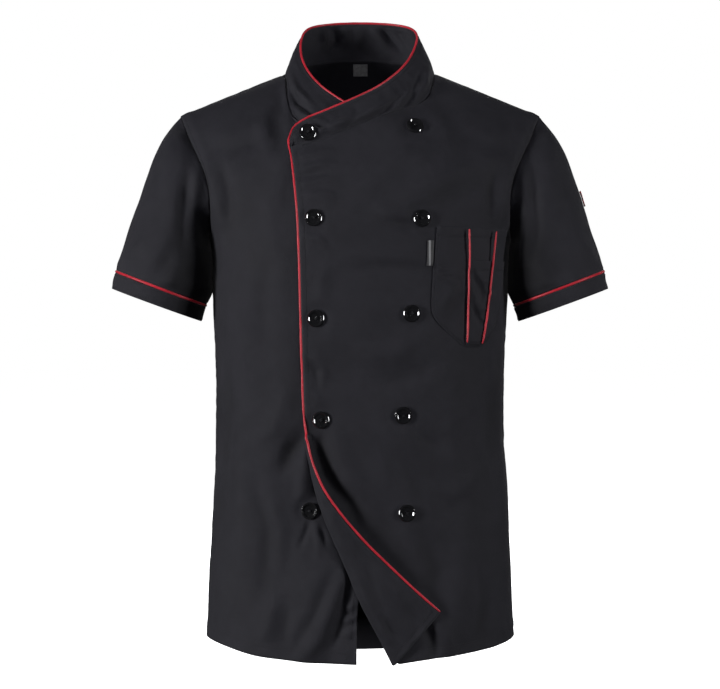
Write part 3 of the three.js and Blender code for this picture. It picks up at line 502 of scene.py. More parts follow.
def give_relief(piece, height, wear_and_shade, ride_on=()):
    """Moves a sheet's points out by height in mm, and keeps each point's wear, less the painted shade of
    deep folds.
    """
    mesh = piece.data
    start = positions(mesh)
    moved = start + directions(mesh) * (height * MM)[:, None]
    if ride_on:
        moved += follow(start, ride_on)
    node = piece.name.split(".")[0]
    MOVES[node] = (start, moved - start)
    RIMS[node] = moved[np.unique(rim_edges(mesh))]
    mesh.vertices.foreach_set("co", moved.ravel())
    # Deep folds get painted shade: the cloth goes darker from 1.4 mm down
    depth = np.clip((-height - 1.4) / 9, 0, 0.62)
    mesh.attributes.new("wear_and_shade", "FLOAT", "POINT").data.foreach_set("value", wear_and_shade - depth)
    mesh.update()


def give_thickness(piece, thickness):
    wall = piece.modifiers.new("wall", "SOLIDIFY")
    wall.thickness = thickness
    wall.offset = -1
    wall.use_quality_normals = True
    apply_modifier(piece, wall)


def finish_cloth(piece, node, material):
    piece.name = "cloth_" + node
    dress(piece, material, node)


# Places (z, x) in mm up along the fold line of the turned-back corner, then along the free edge
OVER_LINE = [(-721, 38), (-676, 14), (-650, 0), (-606, -18), (-569, -35), (-526, -50), (-488, -58.5),
             (-446, -66), (-333, -70), (-238, -72.6), (-154, -77.6), (-102, -83), (0, -83)]
BUTTON_NODES = [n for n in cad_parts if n.startswith("button")]
CLOTH_WALL = 1.3 * MM
HEM_HEIGHT = 13
EDGE_STITCH = 6.5  # mm from a free edge to the stitches beside it
ARM_STITCH = 5  # mm from an armhole or shoulder seam to its stitches
BODY_HALF = (0.19, 0.115)  # half the body's width and depth in metres, for the weave

# Folds by their width and height in mm and their places (x, z) in mm. A negative height is a trough.
SHARED_FOLDS = [
    (10, -4.6, [(-52, -440), (-46, -468), (-39, -492), (-29, -509), (-13, -527), (-3, -548)]),
    (22, -2.6, [(-5, -530), (30, -575), (84, -640)]),
    (12, 3.4, [(-30, -444), (-20, -472), (-8, -496), (14, -524)]),
]
OVER_FOLDS = [
    (5, 1.7, [(-74, -116), (-52, -109), (-36, -106)]),
    (5, 1.9, [(-73, -131), (-50, -124), (-32, -122)]),
    (5.5, 1.8, [(-72, -147), (-46, -142), (-30, -143)]),
    (6, 1.8, [(-70, -163), (-48, -160), (-26, -163)]),
    (6, -1.5, [(-70, -139), (-44, -134)]),
    (5, 1.5, [(-70, -208), (-50, -213), (-38, -224)]),
    (9, 1.6, [(-40, -245), (-47, -270), (-44, -296)]),
    (5, 1.5, [(-68, -352), (-52, -356), (-42, -368), (-44, -384)]),
    (5.5, -1.6, [(-66, -366), (-54, -372), (-50, -392)]),
    (6, 1.4, [(-64, -392), (-52, -400), (-45, -412)]),
    (20, 3.0, [(40, -186), (92, -150), (144, -116)]),
    (15, -2.6, [(64, -190), (104, -162), (150, -138)]),
    (14, 2.2, [(-10, -158), (34, -128), (60, -98)]),
    (7, -1.9, [(26, -193), (52, -197), (88, -196)]),
    (9, 1.6, [(20, -181), (50, -183), (66, -178)]),
    (6, -1.5, [(-18, -247), (40, -245), (84, -250), (131, -255)]),
    (10, 1.5, [(-10, -236), (46, -233), (80, -236)]),
    (9, -1.6, [(30, -305), (50, -312), (76, -316)]),
    (11, 1.5, [(74, -330), (40, -352), (-6, -352)]),
    (12, -1.8, [(98, -352), (72, -372), (22, -384)]),
    (8, -1.3, [(48, -425), (74, -452), (100, -462)]),
    (14, 1.8, [(112, -380), (106, -440), (118, -520)]),
    (11, -1.7, [(14, -452), (56, -482), (76, -530)]),
    (9, 1.4, [(-12, -432), (24, -470), (36, -512)]),
    (9, 1.5, [(88, -508), (112, -520), (140, -500)]),
    (12, -2.2, [(72, -556), (92, -610), (84, -652)]),
    (16, 2.4, [(118, -560), (122, -620), (112, -690)]),
    (10, -2.2, [(146, -600), (150, -650), (144, -704)]),
    (9, 3.2, [(88, -668), (102, -690), (108, -712)]),
    (7, -3.2, [(76, -672), (86, -690), (92, -712)]),
    (11, 3.2, [(184, -118), (177, -140), (172, -172), (170, -215)]),
    (8, -2.8, [(166, -126), (160, -152), (158, -190)]),
    (10, 2.0, [(160, -230), (150, -300), (158, -380)]),
    (13, -2.0, [(170, -330), (166, -420), (170, -500)]),
    (12, 2.1, [(176, -470), (172, -560), (178, -640)]),
    (18, 2.0, [(110, -60), (150, -76), (190, -78)]),
    (12, -1.8, [(120, -84), (150, -96), (176, -100)]),
    (12, 2.0, [(86, -50), (104, -80), (108, -112)]),
]


def front_relief(piece, folds, free, seed):
    """Relief in mm of a front or back: folds, waves, seams and the turned-up hem."""
    points = positions(piece.data)
    x, z = points[:, 0] / MM, points[:, 2] / MM
    rim = rim_points(piece.data)
    loose = np.array([free(p) for p in rim])
    low = np.array([p[2] < -0.69 for p in rim])
    from_seam = distance_to(points, rim[~loose])
    from_hem = distance_to(points, rim[low])
    from_free = distance_to(points, rim[loose])
    buttons = np.array([np.mean(positions(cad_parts[n].data), axis=0) for n in BUTTON_NODES])
    from_button = distance_to(points, buttons)
    relief = fold_relief(folds, x, z)
    relief += roughly(points, 0.085, seed) * 0.9 + roughly(points, 0.033, seed + 2) * 0.35
    puckers = roughly(points, 0.011, seed + 4)
    # Each button holds the cloth flat and sits in a shallow ring
    relief *= smooth(from_button, 7, 24)
    relief += (roughly(points, 0.02, seed + 6) * 0.5 - 0.5) * np.exp(-(((from_button - 13) / 6) ** 2))
    relief *= smooth(from_seam, 0, 9)
    relief += seam_relief(from_seam, puckers * 0.7)
    # The armhole seam lies in a groove, with a soft ridge beside it
    from_arm = distance_to(points, rim[[at_armhole(p) for p in rim]])
    relief += 1.3 * np.exp(-(((from_arm - 12) / 6) ** 2)) - 1.5 * np.exp(-((from_arm / 4.5) ** 2))
    relief += 0.45 * (1 - smooth(from_hem, HEM_HEIGHT - 1.5, HEM_HEIGHT + 1))
    relief += seam_relief(np.abs(from_hem - HEM_HEIGHT), puckers * 0.6, 0.25, 5)
    wear_and_shade = np.exp(-from_free / 1.6) * 0.8 + np.exp(-from_seam / 1.2) * 0.3
    return relief, wear_and_shade, from_free, puckers


def at_hem(p):
    return p[2] < -0.692 and abs(p[0]) < 0.186


def at_armhole(p):
    return abs(p[0]) > 0.178 and -0.2 < p[2] < -0.058


def over_edge_x(z):
    """Where the over front's edge lies across the body, at heights in mm."""
    return np.interp(z, *zip(*OVER_LINE))


def at_over_edge(p):
    return -0.695 < p[2] < -0.106 and p[0] < over_edge_x(p[2] / MM) * MM + 0.012


def over_is_free(p):
    return p[2] < -0.69 or p[0] < over_edge_x(p[2] / MM) * MM + 0.012


over = outer_sheet("front_over", 3)
wrap_map(over, *BODY_HALF)
relief, wear_and_shade, from_free, puckers = front_relief(over, SHARED_FOLDS + OVER_FOLDS, over_is_free, 1)
relief += seam_relief(np.abs(from_free - EDGE_STITCH), puckers * 0.55, 0.3, 5)
give_relief(over, relief, wear_and_shade)
front_rims = [rim_points(over.data)]
topstitch(over, "front_over", [(at_hem, HEM_HEIGHT), (at_over_edge, EDGE_STITCH), (at_armhole, ARM_STITCH)])
give_thickness(over, CLOTH_WALL)
twill = black_twill()
finish_cloth(over, "front_over", twill)

# Front that lies underneath, wearer's right
# One panel of the same twill, sewn into collar, shoulder and sleeve like the other front. Below the
# waist it shows up to its own free edge, which hangs beside the gap between the fronts.
UNDER_FOLDS = [
    (11, -4.0, [(-66, -446), (-82, -466), (-96, -492)]),
    (9, 2.6, [(-64, -470), (-68, -500), (-69, -530)]),
    (6, -2.8, [(-52, -500), (-50, -526)]),
    (3.5, -2.4, [(-60, -549), (-64, -562), (-72, -580)]),
    (3.5, -1.8, [(-50, -553), (-45, -564), (-40, -576)]),
    (5, 2.0, [(-52, -550), (-50, -570), (-48, -590)]),
    (9, 3.6, [(-17, -606), (-34, -652), (-48, -690), (-66, -712)]),
    (7, -2.4, [(-6, -612), (-20, -660), (-34, -700)]),
    (8, -2.3, [(-34, -614), (-56, -664), (-82, -706)]),
    (4.5, 2.2, [(-16, -655), (-6, -650)]),
    (4, -1.6, [(-18, -662), (-5, -658)]),
    (4.5, 2.0, [(-20, -669), (-5, -664)]),
    (4, -1.5, [(-20, -676), (-5, -672)]),
    (4.5, 2.0, [(-19, -684), (-5, -680)]),
    (8, 1.6, [(-110, -520), (-92, -560), (-96, -610)]),
    (10, -1.8, [(-128, -500), (-112, -560), (-118, -640)]),
    (9, 1.9, [(-100, -640), (-112, -690)]),
    (10, -2.0, [(-88, -650), (-94, -706)]),
    (14, 2.2, [(-150, -430), (-140, -520), (-150, -620)]),
    (12, -2.2, [(-165, -330), (-160, -420), (-170, -540)]),
    (11, 3.2, [(-184, -118), (-177, -140), (-171, -172), (-169, -215)]),
    (8, -2.8, [(-166, -126), (-160, -152), (-157, -190)]),
    (12, 1.8, [(-160, -240), (-150, -300), (-140, -360)]),
    (12, -1.5, [(-110, -240), (-120, -290), (-110, -350)]),
    (16, 2.0, [(-110, -62), (-150, -78), (-188, -80)]),
    (12, -1.8, [(-118, -90), (-150, -100), (-176, -104)]),
    (11, -2.6, [(-98, -30), (-104, -60), (-94, -96)]),
    (10, 1.9, [(-110, -40), (-118, -76), (-112, -112)]),
    (10, 1.5, [(-92, -130), (-110, -170), (-104, -220)]),
    (11, 1.8, [(-88, -400), (-104, -440), (-130, -460)]),
    (10, 1.7, [(-172, -600), (-166, -650), (-172, -690)]),
]
under = outer_sheet("front_under", 3)
wrap_map(under, *BODY_HALF)
relief, wear_and_shade, from_free, puckers = front_relief(
    under, UNDER_FOLDS, lambda p: p[2] < -0.69 or p[0] > -0.01, 11
)
points = positions(under.data)
x, z = points[:, 0] / MM, points[:, 2] / MM
# Beneath the over front it takes up that front's folds and stays below them
covered = smooth(x - over_edge_x(z), -6, 6)
shared = np.minimum(fold_relief(SHARED_FOLDS + OVER_FOLDS, x, z) - 1.2, 0.2)
relief = relief * (1 - covered) + np.minimum(shared, relief) * covered
give_relief(under, relief, wear_and_shade)
front_rims.append(rim_points(under.data))
topstitch(under, "front_under", [
    (at_hem, HEM_HEIGHT), (at_armhole, ARM_STITCH),
    (lambda p: p[0] > -0.012 and -0.7 < p[2] < -0.3, EDGE_STITCH),
])
give_thickness(under, CLOTH_WALL)
finish_cloth(under, "front_under", twill)

# Back
# One panel of the same twill across both shoulders, sewn to the fronts at shoulders and sides. It hangs
# free from the shoulder blades down, so its long soft folds fall from there to the hem.
BACK_FOLDS = [
    (16, -4.0, [(-58, -330), (-64, -450), (-74, -600), (-70, -690)]),
    (16, -3.8, [(62, -350), (66, -470), (78, -620)]),
    (14, 3.0, [(-30, -360), (-38, -500), (-34, -640)]),
    (13, 2.8, [(36, -330), (30, -470), (42, -600)]),
    (12, 2.8, [(-96, -300), (-92, -420), (-104, -560)]),
    (12, 2.6, [(100, -320), (94, -440), (108, -590)]),
    (13, -3.0, [(-120, -90), (-140, -150), (-150, -230)]),
    (12, -3.0, [(122, -96), (144, -160), (152, -236)]),
    (11, 3.0, [(-104, -104), (-122, -170), (-132, -250)]),
    (11, 3.0, [(104, -100), (124, -176), (134, -246)]),
    (10, 2.8, [(-170, -118), (-172, -170), (-166, -220)]),
    (10, 2.8, [(172, -124), (172, -176), (166, -226)]),
    (8, 1.7, [(-60, -40), (-20, -52), (24, -50), (62, -38)]),
    (9, -1.7, [(-70, -62), (-10, -76), (60, -66)]),
    (12, 1.9, [(-130, -300), (-100, -330), (-60, -336)]),
    (10, -1.8, [(-140, -330), (-110, -352), (-76, -362)]),
    (12, 1.8, [(140, -310), (104, -336), (62, -340)]),
    (10, -1.8, [(144, -338), (112, -362), (74, -366)]),
    (14, 2.0, [(0, -420), (-6, -560), (4, -680)]),
    (11, -2.0, [(-140, -480), (-146, -580), (-140, -690)]),
    (11, -2.0, [(142, -470), (146, -590), (150, -680)]),
    (12, 2.0, [(-164, -380), (-166, -500), (-160, -620)]),
    (12, 2.0, [(166, -400), (164, -520), (170, -640)]),
]
back = outer_sheet("back", 3)
wrap_map(back, 0.19, 0.105)
relief, wear_and_shade, from_free, puckers = front_relief(back, BACK_FOLDS, lambda p: p[2] < -0.702, 21)
give_relief(back, relief, wear_and_shade)
sew(back, np.concatenate(front_rims))
body_rims = np.concatenate([*front_rims, rim_points(back.data)])
topstitch(back, "back", [
    (at_hem, HEM_HEIGHT), (at_armhole, ARM_STITCH),
    (lambda p: p[2] > -0.05 and 0.1 < abs(p[0]) < 0.215, ARM_STITCH),
])
give_thickness(back, CLOTH_WALL)
finish_cloth(back, "back", twill)

# Turned-back corner of the over front
# The lower corner hangs open: it rolls back on itself, shows its facing side and carries the piping.
CORNER_FOLDS = [
    (4, 1.6, [(20, -668), (30, -684), (38, -694)]),
    (4, -1.8, [(28, -664), (38, -680), (46, -690)]),
    (6, 1.6, [(-6, -608), (8, -640), (20, -664)]),
    (5, -1.2, [(8, -606), (20, -636), (30, -656)]),
    (6, 1.4, [(-36, -540), (-22, -566), (-8, -588)]),
    (7, -1.4, [(-24, -548), (-4, -580), (16, -604)]),
    (7, 1.4, [(22, -610), (48, -640), (72, -664)]),
    (6, -1.5, [(52, -640), (66, -668), (70, -690)]),
]
corner = outer_sheet("front_facing_turned", 3)
wrap_map(corner, *BODY_HALF)
points = positions(corner.data)
rim = rim_points(corner.data)
from_edge = distance_to(points, rim)
relief = fold_relief(CORNER_FOLDS, points[:, 0] / MM, points[:, 2] / MM) * smooth(from_edge, 0, 10)
puckers = roughly(points, 0.011, 31)
relief += roughly(points, 0.05, 32) * 0.6 * smooth(from_edge, 0, 12)
relief += seam_relief(np.abs(from_edge - EDGE_STITCH), puckers * 0.5, 0.3, 5)
give_relief(corner, relief, np.exp(-from_edge / 1.5) * 0.8)
topstitch(corner, "turned_corner", [
    (lambda p: p[0] > over_edge_x(p[2] / MM) * MM + 0.008 and -0.655 < p[2] < -0.46, EDGE_STITCH),
    (lambda p: p[0] > 0.03 and p[2] < -0.66, 9),
])
give_thickness(corner, CLOTH_WALL)
finish_cloth(corner, "front_facing_turned", twill)

# Stand collar
# A double band of twill, stiffened inside, that crosses in front and leans in to the neck. The cloth
# slips over its stiffening, so it shows many soft slanting wrinkles inside and out.
COLLAR_STITCH = 5
COLLAR_FOLDS = [
    (4, 1.5, [(-24, -74), (6, -62), (36, -46)]),
    (3.5, -1.4, [(-6, -76), (20, -62), (52, -34)]),
    (4, 1.4, [(18, -70), (48, -48), (70, -22)]),
    (3.5, -1.3, [(40, -60), (62, -36), (74, -4)]),
    (4.5, 1.4, [(-60, -84), (-34, -76), (-12, -64)]),
    (4, -1.2, [(-50, -90), (-20, -82), (8, -68)]),
    (4, 1.3, [(66, -44), (80, -20), (84, 4)]),
    (4, 1.6, [(-84, -8), (-76, -30), (-60, -46)]),
    (3.5, -1.6, [(-86, -24), (-76, -44), (-58, -60)]),
    (4, 1.4, [(-84, -44), (-70, -60), (-44, -70)]),
    (3.5, -1.2, [(-70, -72), (-54, -72), (-34, -78)]),
]
COLLAR_INNER_FOLDS = [
    (4.5, -2.0, [(-34, 66), (-30, 48), (-40, 34)]),
    (5, 1.8, [(-44, 64), (-46, 46), (-52, 36)]),
    (5, 1.6, [(-20, 68), (-16, 52), (-22, 40)]),
    (4.5, -1.8, [(28, 68), (40, 50), (54, 34)]),
    (5, 1.8, [(14, 68), (28, 52), (36, 38)]),
    (4.5, -1.6, [(42, 66), (54, 48), (60, 36)]),
    (6, 1.4, [(-4, 68), (0, 54), (-4, 40)]),
]
collar = outer_sheet("collar", 4)
wrap_map(collar, 0.085, 0.08)
points = positions(collar.data)
x, y, z = (points / MM).T
rim = rim_points(collar.data)
from_edge = distance_to(points, rim)
in_front = smooth(-y, -6, 6)
relief = 1.7 * fold_relief(COLLAR_FOLDS, x, z) * in_front
relief -= 1.6 * fold_relief(COLLAR_INNER_FOLDS, x, z) * (1 - in_front)
# Fine wrinkles run along a slant all round
slant = np.column_stack([x + z * 0.8, y, z - x * 0.5]) * MM
relief += roughly(slant * np.array([1.6, 1, 0.7]), 0.02, 41) * 0.55
buttons = np.array([np.mean(positions(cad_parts["button_right_1"].data), axis=0)])
relief *= smooth(from_edge, 0, 9) * smooth(distance_to(points, buttons), 8, 18)
puckers = roughly(points, 0.009, 42)
relief += seam_relief(np.abs(from_edge - COLLAR_STITCH), puckers * 0.4, 0.25, 4)
relief += seam_relief(from_edge, puckers * 0.4)
give_relief(collar, relief, np.exp(-from_edge / 1.5) * 0.6)
sew(collar, body_rims)
topstitch(collar, "collar", [(lambda p: True, COLLAR_STITCH)])
give_thickness(collar, CLOTH_WALL)
finish_cloth(collar, "collar", twill)

# Short sleeves and their hem bands
# Set-in sleeves of the same twill that slant down beside the body, each ending in a separate band.
# They lie against the body below the armpit, and the cloth there is darkened with painted shade.
BAND_STITCH = 2.5
SLEEVE_HALF = (0.062, 0.064)  # half a sleeve's width and depth in metres, for the weave
SLEEVE_SLANT = 0.36 / 0.93  # how far outward a sleeve runs for each metre down
SLEEVE_FOLDS = [
    (9, 2.6, [(196, -118), (202, -150), (206, -190), (203, -240)]),
    (7, -2.6, [(207, -110), (212, -150), (215, -196), (212, -230)]),
    (14, 1.1, [(226, -90), (232, -130), (230, -180)]),
    (15, -1.0, [(244, -110), (246, -160), (244, -210)]),
    (16, 1.2, [(258, -140), (262, -190), (270, -240)]),
    (9, -1.6, [(222, -210), (234, -238), (252, -262)]),
    (9, 1.6, [(214, -236), (230, -262), (246, -276)]),
    (8, 1.7, [(262, -210), (278, -226), (290, -246)]),
]
for label, side, seed in (("left", 1, 51), ("right", -1, 61)):
    for node, folds, flat in (
        ("sleeve_" + label, SLEEVE_FOLDS, (0.44, 0.24)),
        ("cuff_" + label, [], (0.38, 0.0215)),
    ):
        sleeve = outer_sheet(node, 3, tube=True)
        low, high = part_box(node)
        middle = [(a + b) / 2 for a, b in zip(low, high)]
        wrap_map(sleeve, *SLEEVE_HALF, middle, (side * SLEEVE_SLANT, 0, -1))
        points = positions(sleeve.data)
        # The folds of the front show on the back too, turned round and a little weaker
        turned = np.where(points[:, 1] < middle[1], 1.0, -0.9)
        near = np.abs(points[:, 1] - middle[1]) / MM
        x, z = points[:, 0] * side / MM, points[:, 2] / MM
        relief = fold_relief(folds, x, z) * smooth(near, 4, 22) * turned
        relief += roughly(points, 0.05, seed) * 0.8 + roughly(points, 0.024, seed + 1) * 0.3
        from_edge = distance_to(points, rim_points(sleeve.data))
        puckers = roughly(points, 0.010, seed + 2)
        relief = relief * smooth(from_edge, 0, 10) + seam_relief(from_edge, puckers * 0.7, 0.4)
        # Painted shade: the sleeve is darkened beside the body, below the armpit
        shade = 0.8 * (1 - smooth(x, 196, 258)) * (1 - smooth(z, -235, -150))
        set_in = node.startswith("sleeve")
        if set_in:
            toward_body = (1 - smooth(x, 196, 222)) * smooth(-z, 208, 226) * smooth(z, -288, -268)
            relief += 2.6 * toward_body
        give_relief(sleeve, relief, np.exp(-from_edge / 1.4) * 0.6 - shade)
        if set_in:
            sew(sleeve, body_rims)
        else:
            topstitch(sleeve, node, [(lambda p: True, BAND_STITCH)])
        give_thickness(sleeve, CLOTH_WALL)
        finish_cloth(sleeve, node, twill)

# Chest pocket and the pen pocket on it
# Patches of the same twill, topstitched to the over front round their edges, open along the top.
POCKET_WALL = 0.9 * MM
POCKET_STITCH = 2.5
MOUTH_STITCH = 11
POCKET_FOLDS = [
    (4, -1.4, [(132, -252), (143, -268), (152, -290)]),
    (4, 1.4, [(136, -246), (150, -264), (160, -284)]),
    (4.5, 1.3, [(128, -270), (142, -290), (152, -310)]),
    (4, -1.2, [(130, -288), (140, -304), (150, -322)]),
    (5, 1.2, [(92, -246), (108, -252), (126, -254)]),
    (5, -1.2, [(94, -256), (110, -262), (126, -266)]),
    (6, 1.1, [(96, -300), (106, -280), (112, -262)]),
    (6, -1.0, [(108, -312), (116, -290), (122, -276)]),
]
for node, flat in (("chest_pocket", (0.105, 0.146)), ("pen_pocket", (0.058, 0.102))):
    pocket = outer_sheet(node, 4)
    wrap_map(pocket, *BODY_HALF)
    points = positions(pocket.data)
    x, z = points[:, 0] / MM, points[:, 2] / MM
    rim = rim_points(pocket.data)
    top = max(p[2] for p in rim)
    sewn = rim[rim[:, 2] < top - 0.0015]
    from_sewn = distance_to(points, sewn)
    from_mouth = (top - points[:, 2]) / MM
    puckers = roughly(points, 0.009, 81)
    beads = [positions(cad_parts[n].data) for n in ("piping_pocket_inner", "piping_pocket_outer")]
    from_bead = distance_to(points, np.concatenate(beads))
    relief = fold_relief(POCKET_FOLDS, x, z) * smooth(from_sewn, 0, 10) * smooth(from_bead, 3, 9)
    relief += roughly(points, 0.03, 82) * 0.35
    relief -= 1 - smooth(from_sewn, 0, 4)
    relief += seam_relief(np.abs(from_sewn - POCKET_STITCH), puckers * 0.35, 0.2, 3)
    relief += seam_relief(np.abs(from_mouth - MOUTH_STITCH), puckers * 0.2, 0.2, 3)
    relief += 0.35 * (1 - smooth(from_mouth, MOUTH_STITCH - 1, MOUTH_STITCH + 1))
    give_relief(pocket, relief, np.exp(-distance_to(points, rim) / 1.2) * 0.12, ["front_over"])
    topstitch(pocket, node, [
        (lambda p: p[2] < top - 0.0015, POCKET_STITCH), (lambda p: p[2] > top - 0.001, MOUTH_STITCH),
    ])
    give_thickness(pocket, POCKET_WALL)
    finish_cloth(pocket, node, twill)

# Red piping
# A thin cord wrapped in red satin, caught in the seams of the collar, front edge, hem bands and pocket.
PIPING_R = 1.5 * MM
piping_cloth = Finish("red_satin", Sheen_Weight=0.12, Sheen_Roughness=0.4, Specular_IOR_Level=0.35)
place = piping_cloth.place()
thread = piping_cloth.grain(place, 1500, 2)
worn = piping_cloth.grain(place, 60, 3)
shade = (worn * 0.6 + thread * 0.4).above(0.3, 0.75)
red = piping_cloth.mix(shade, (0.27, 0.006, 0.014, 1), (0.42, 0.014, 0.028, 1))
ridges = piping_cloth.bump(thread, 0.12 * MM, 0.5)
satin = piping_cloth.set(Base_Color=red, Roughness=0.36 + worn * 0.2, Normal=ridges)


def mean_near(tree, place, reach):
    """Middle of a tree's places within reach of one place."""
    return np.mean([found for found, _, _ in tree.find_range(place, reach)], axis=0)


for node in [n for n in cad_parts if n.startswith("piping")]:
    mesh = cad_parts[node].data.copy()
    piping = bpy.data.objects.new("bead_" + node, mesh)
    bpy.context.scene.collection.objects.link(piping)
    shell = bmesh.new()
    shell.from_mesh(mesh)
    bmesh.ops.remove_doubles(shell, verts=shell.verts, dist=0.02 * MM)
    bmesh.ops.join_triangles(
        shell, faces=shell.faces, angle_face_threshold=math.radians(40), angle_shape_threshold=math.pi,
    )
    shell.to_mesh(mesh)
    shell.free()
    rounder = piping.modifiers.new("rounder", "SUBSURF")
    rounder.levels = rounder.render_levels = 2 if node == "piping_front" else 3
    apply_modifier(piping, rounder)
    points = positions(mesh)
    beside = {"front": ["front_over", "front_facing_turned", "collar"]}.get(node[7:], ["pen_pocket"])
    if "cuff" in node:
        beside = [node[7:], node[7:].replace("cuff", "sleeve")]
    points += follow(points, beside)
    if node == "piping_front":
        # It is drawn to within its own radius of the cloth's rim, and its turn at the neck is eased
        rings = tree_of(points)
        rims = np.concatenate([RIMS[n] for n in beside])
        rim_tree = tree_of(rims)
        centres = np.array([mean_near(rings, p, 4 * MM) for p in points])
        gaps = np.array([blend(rim_tree, rims, c, 3) for c in centres]) - centres
        length = np.linalg.norm(gaps, axis=1)[:, None]
        to_rim = gaps / length * np.clip(length - PIPING_R, 0, 3 * MM)
        points += to_rim
        centres += to_rim
        path = tree_of(centres)
        turn = (centres[:, 0] < -0.05) & (np.abs(centres[:, 2] + 0.105) < 0.022) & (centres[:, 1] < 0)
        for k in np.flatnonzero(turn):
            eased = mean_near(path, centres[k], 12 * MM)
            points[k] += eased - centres[k]
    swell = 0.55 if "cuff" in node else 0.08
    swell = swell + 0.10 * roughly(points, 0.008, 71) + 0.05 * roughly(points, 0.003, 72)
    mesh.vertices.foreach_set("co", (points + directions(mesh) * (swell * MM)[:, None]).ravel())
    dress(piping, satin, node)

# Woven tabs
# Short folded tabs of smooth bare ribbon, sewn in at the back neck, beside the pocket and on a sleeve.
# The one beside the pocket is black with a plain pale stripe along its length.
STRIPE_X = 0.0832
GREYS = ((0.12, 0.12, 0.125, 1), (0.17, 0.17, 0.175, 1))
BLACKS = ((0.012, 0.012, 0.013, 1), (0.020, 0.020, 0.022, 1))
REDS = ((0.32, 0.012, 0.02, 1), (0.50, 0.03, 0.04, 1))
for node, colours, slot, flat, sewn_to in (
    ("neck_tab", GREYS, "woven_tab", (0.020, 0.0195), "back"),
    ("pocket_tab", BLACKS, "woven_tab", (0.0105, 0.031), "front_over"),
    ("sleeve_tab", REDS, "red_piping", (0.018, 0.020), "sleeve_left"),
):
    tab = outer_sheet(node, 4)
    wrap_map(tab, *BODY_HALF)
    ribbon = Finish("ribbon_" + node, Sheen_Weight=0.2)
    across, _, upward = [ribbon.node("ShaderNodeSeparateXYZ", {}, {0: ribbon.place()}, k) for k in range(3)]
    weave = (upward * (2 * math.pi / (0.5 * MM))).sine()
    cloudy = ribbon.grain(ribbon.place(), 260, 3)
    tone = ribbon.mix(cloudy.above(0.35, 0.7), *colours)
    if node == "pocket_tab":
        from_line = (across - STRIPE_X).calc("ABSOLUTE")
        tone = ribbon.mix(from_line.above(1.0 * MM, 1.4 * MM), (0.15, 0.15, 0.155, 1), tone)
    ribbon.set(Base_Color=tone, Roughness=0.5 + cloudy * 0.2, Normal=ribbon.bump(weave, 0.05 * MM, 0.6))
    points = positions(tab.data)
    lift = -1.3 if node == "neck_tab" else 0.3
    give_relief(tab, roughly(points, 0.008, 91) * 0.15 + lift, np.zeros(len(points)), [sewn_to])
    give_thickness(tab, 0.5 * MM)
    finish_cloth(tab, node, ribbon.material)

# Buttons
# Sew-through buttons of glossy black plastic, 21 mm across: a raised rim, a dished face with four
# holes, and black thread crossed between them.
BUTTON_R = 10.5 * MM
BUTTON_H = 4.4 * MM
HOLE_R = 1.0 * MM
HOLE_AWAY = 2.1 * MM  # from the middle of the button to the middle of a hole
RIM_STEPS = ((1.0, 0.9), (1.1, 0.1), (0.9, -1.0), (1.3, -0.75))  # mm inwards and up, from the outside
DISH_STEPS = ((3.0, -0.1), (1.2, 0.0))
STRAND_RINGS = ((0.0, 0.35), (0.16, 0.85), (0.84, 0.85), (1.0, 0.35))


def pick_faces(piece, test):
    """Selects the faces whose centre and normal pass a test, and nothing else."""
    bpy.ops.mesh.select_mode(type="FACE")
    bpy.ops.mesh.select_all(action="DESELECT")
    shape = bmesh.from_edit_mesh(piece.data)
    for face in shape.faces:
        face.select = test(face.calc_center_median(), face.normal)
    bmesh.update_edit_mesh(piece.data)


bpy.ops.object.select_all(action="DESELECT")
bpy.ops.mesh.primitive_cylinder_add(
    vertices=48, radius=BUTTON_R, depth=0.7 * BUTTON_H, location=(0, 0, 0.38 * BUTTON_H),
)
button = bpy.context.object
bpy.ops.object.mode_set(mode="EDIT")
pick_faces(button, lambda centre, normal: normal.z > 0.9)
for inset, rise in RIM_STEPS + DISH_STEPS:
    bpy.ops.mesh.inset(thickness=inset * MM)
    bpy.ops.transform.translate(value=(0, 0, rise * MM))
bpy.ops.object.mode_set(mode="OBJECT")
for turn in range(4):
    angle = math.radians(45 + 90 * turn)
    bpy.ops.object.select_all(action="DESELECT")
    bpy.ops.mesh.primitive_cylinder_add(
        vertices=14, radius=HOLE_R, depth=20 * MM,
        location=(HOLE_AWAY * math.cos(angle), HOLE_AWAY * math.sin(angle), 0),
    )
    drill = bpy.context.object
    hole = button.modifiers.new("hole", "BOOLEAN")
    hole.object = drill
    hole.solver = "EXACT"
    apply_modifier(button, hole)
    bpy.data.objects.remove(drill)
round_off = button.modifiers.new("round_off", "BEVEL")
round_off.width = 0.28 * MM
round_off.segments = 3
round_off.limit_method = "ANGLE"
round_off.angle_limit = math.radians(24)
apply_modifier(button, round_off)

gloss = Finish("gloss_black", Coat_Roughness=0.03, Specular_IOR_Level=0.6)
place = gloss.place()
scuff = gloss.grain(place, 420, 4)
haze = gloss.grain(place, 90, 2)
tone = gloss.mix(haze, (0.004, 0.004, 0.0045, 1), (0.010, 0.010, 0.011, 1))
plastic = gloss.set(
    Base_Color=tone, Roughness=0.12 + scuff.above(0.5, 0.8) * 0.14, Coat_Weight=0.8 + haze * 0.2,
    Normal=gloss.bump(scuff, 0.02 * MM, 0.3),
)

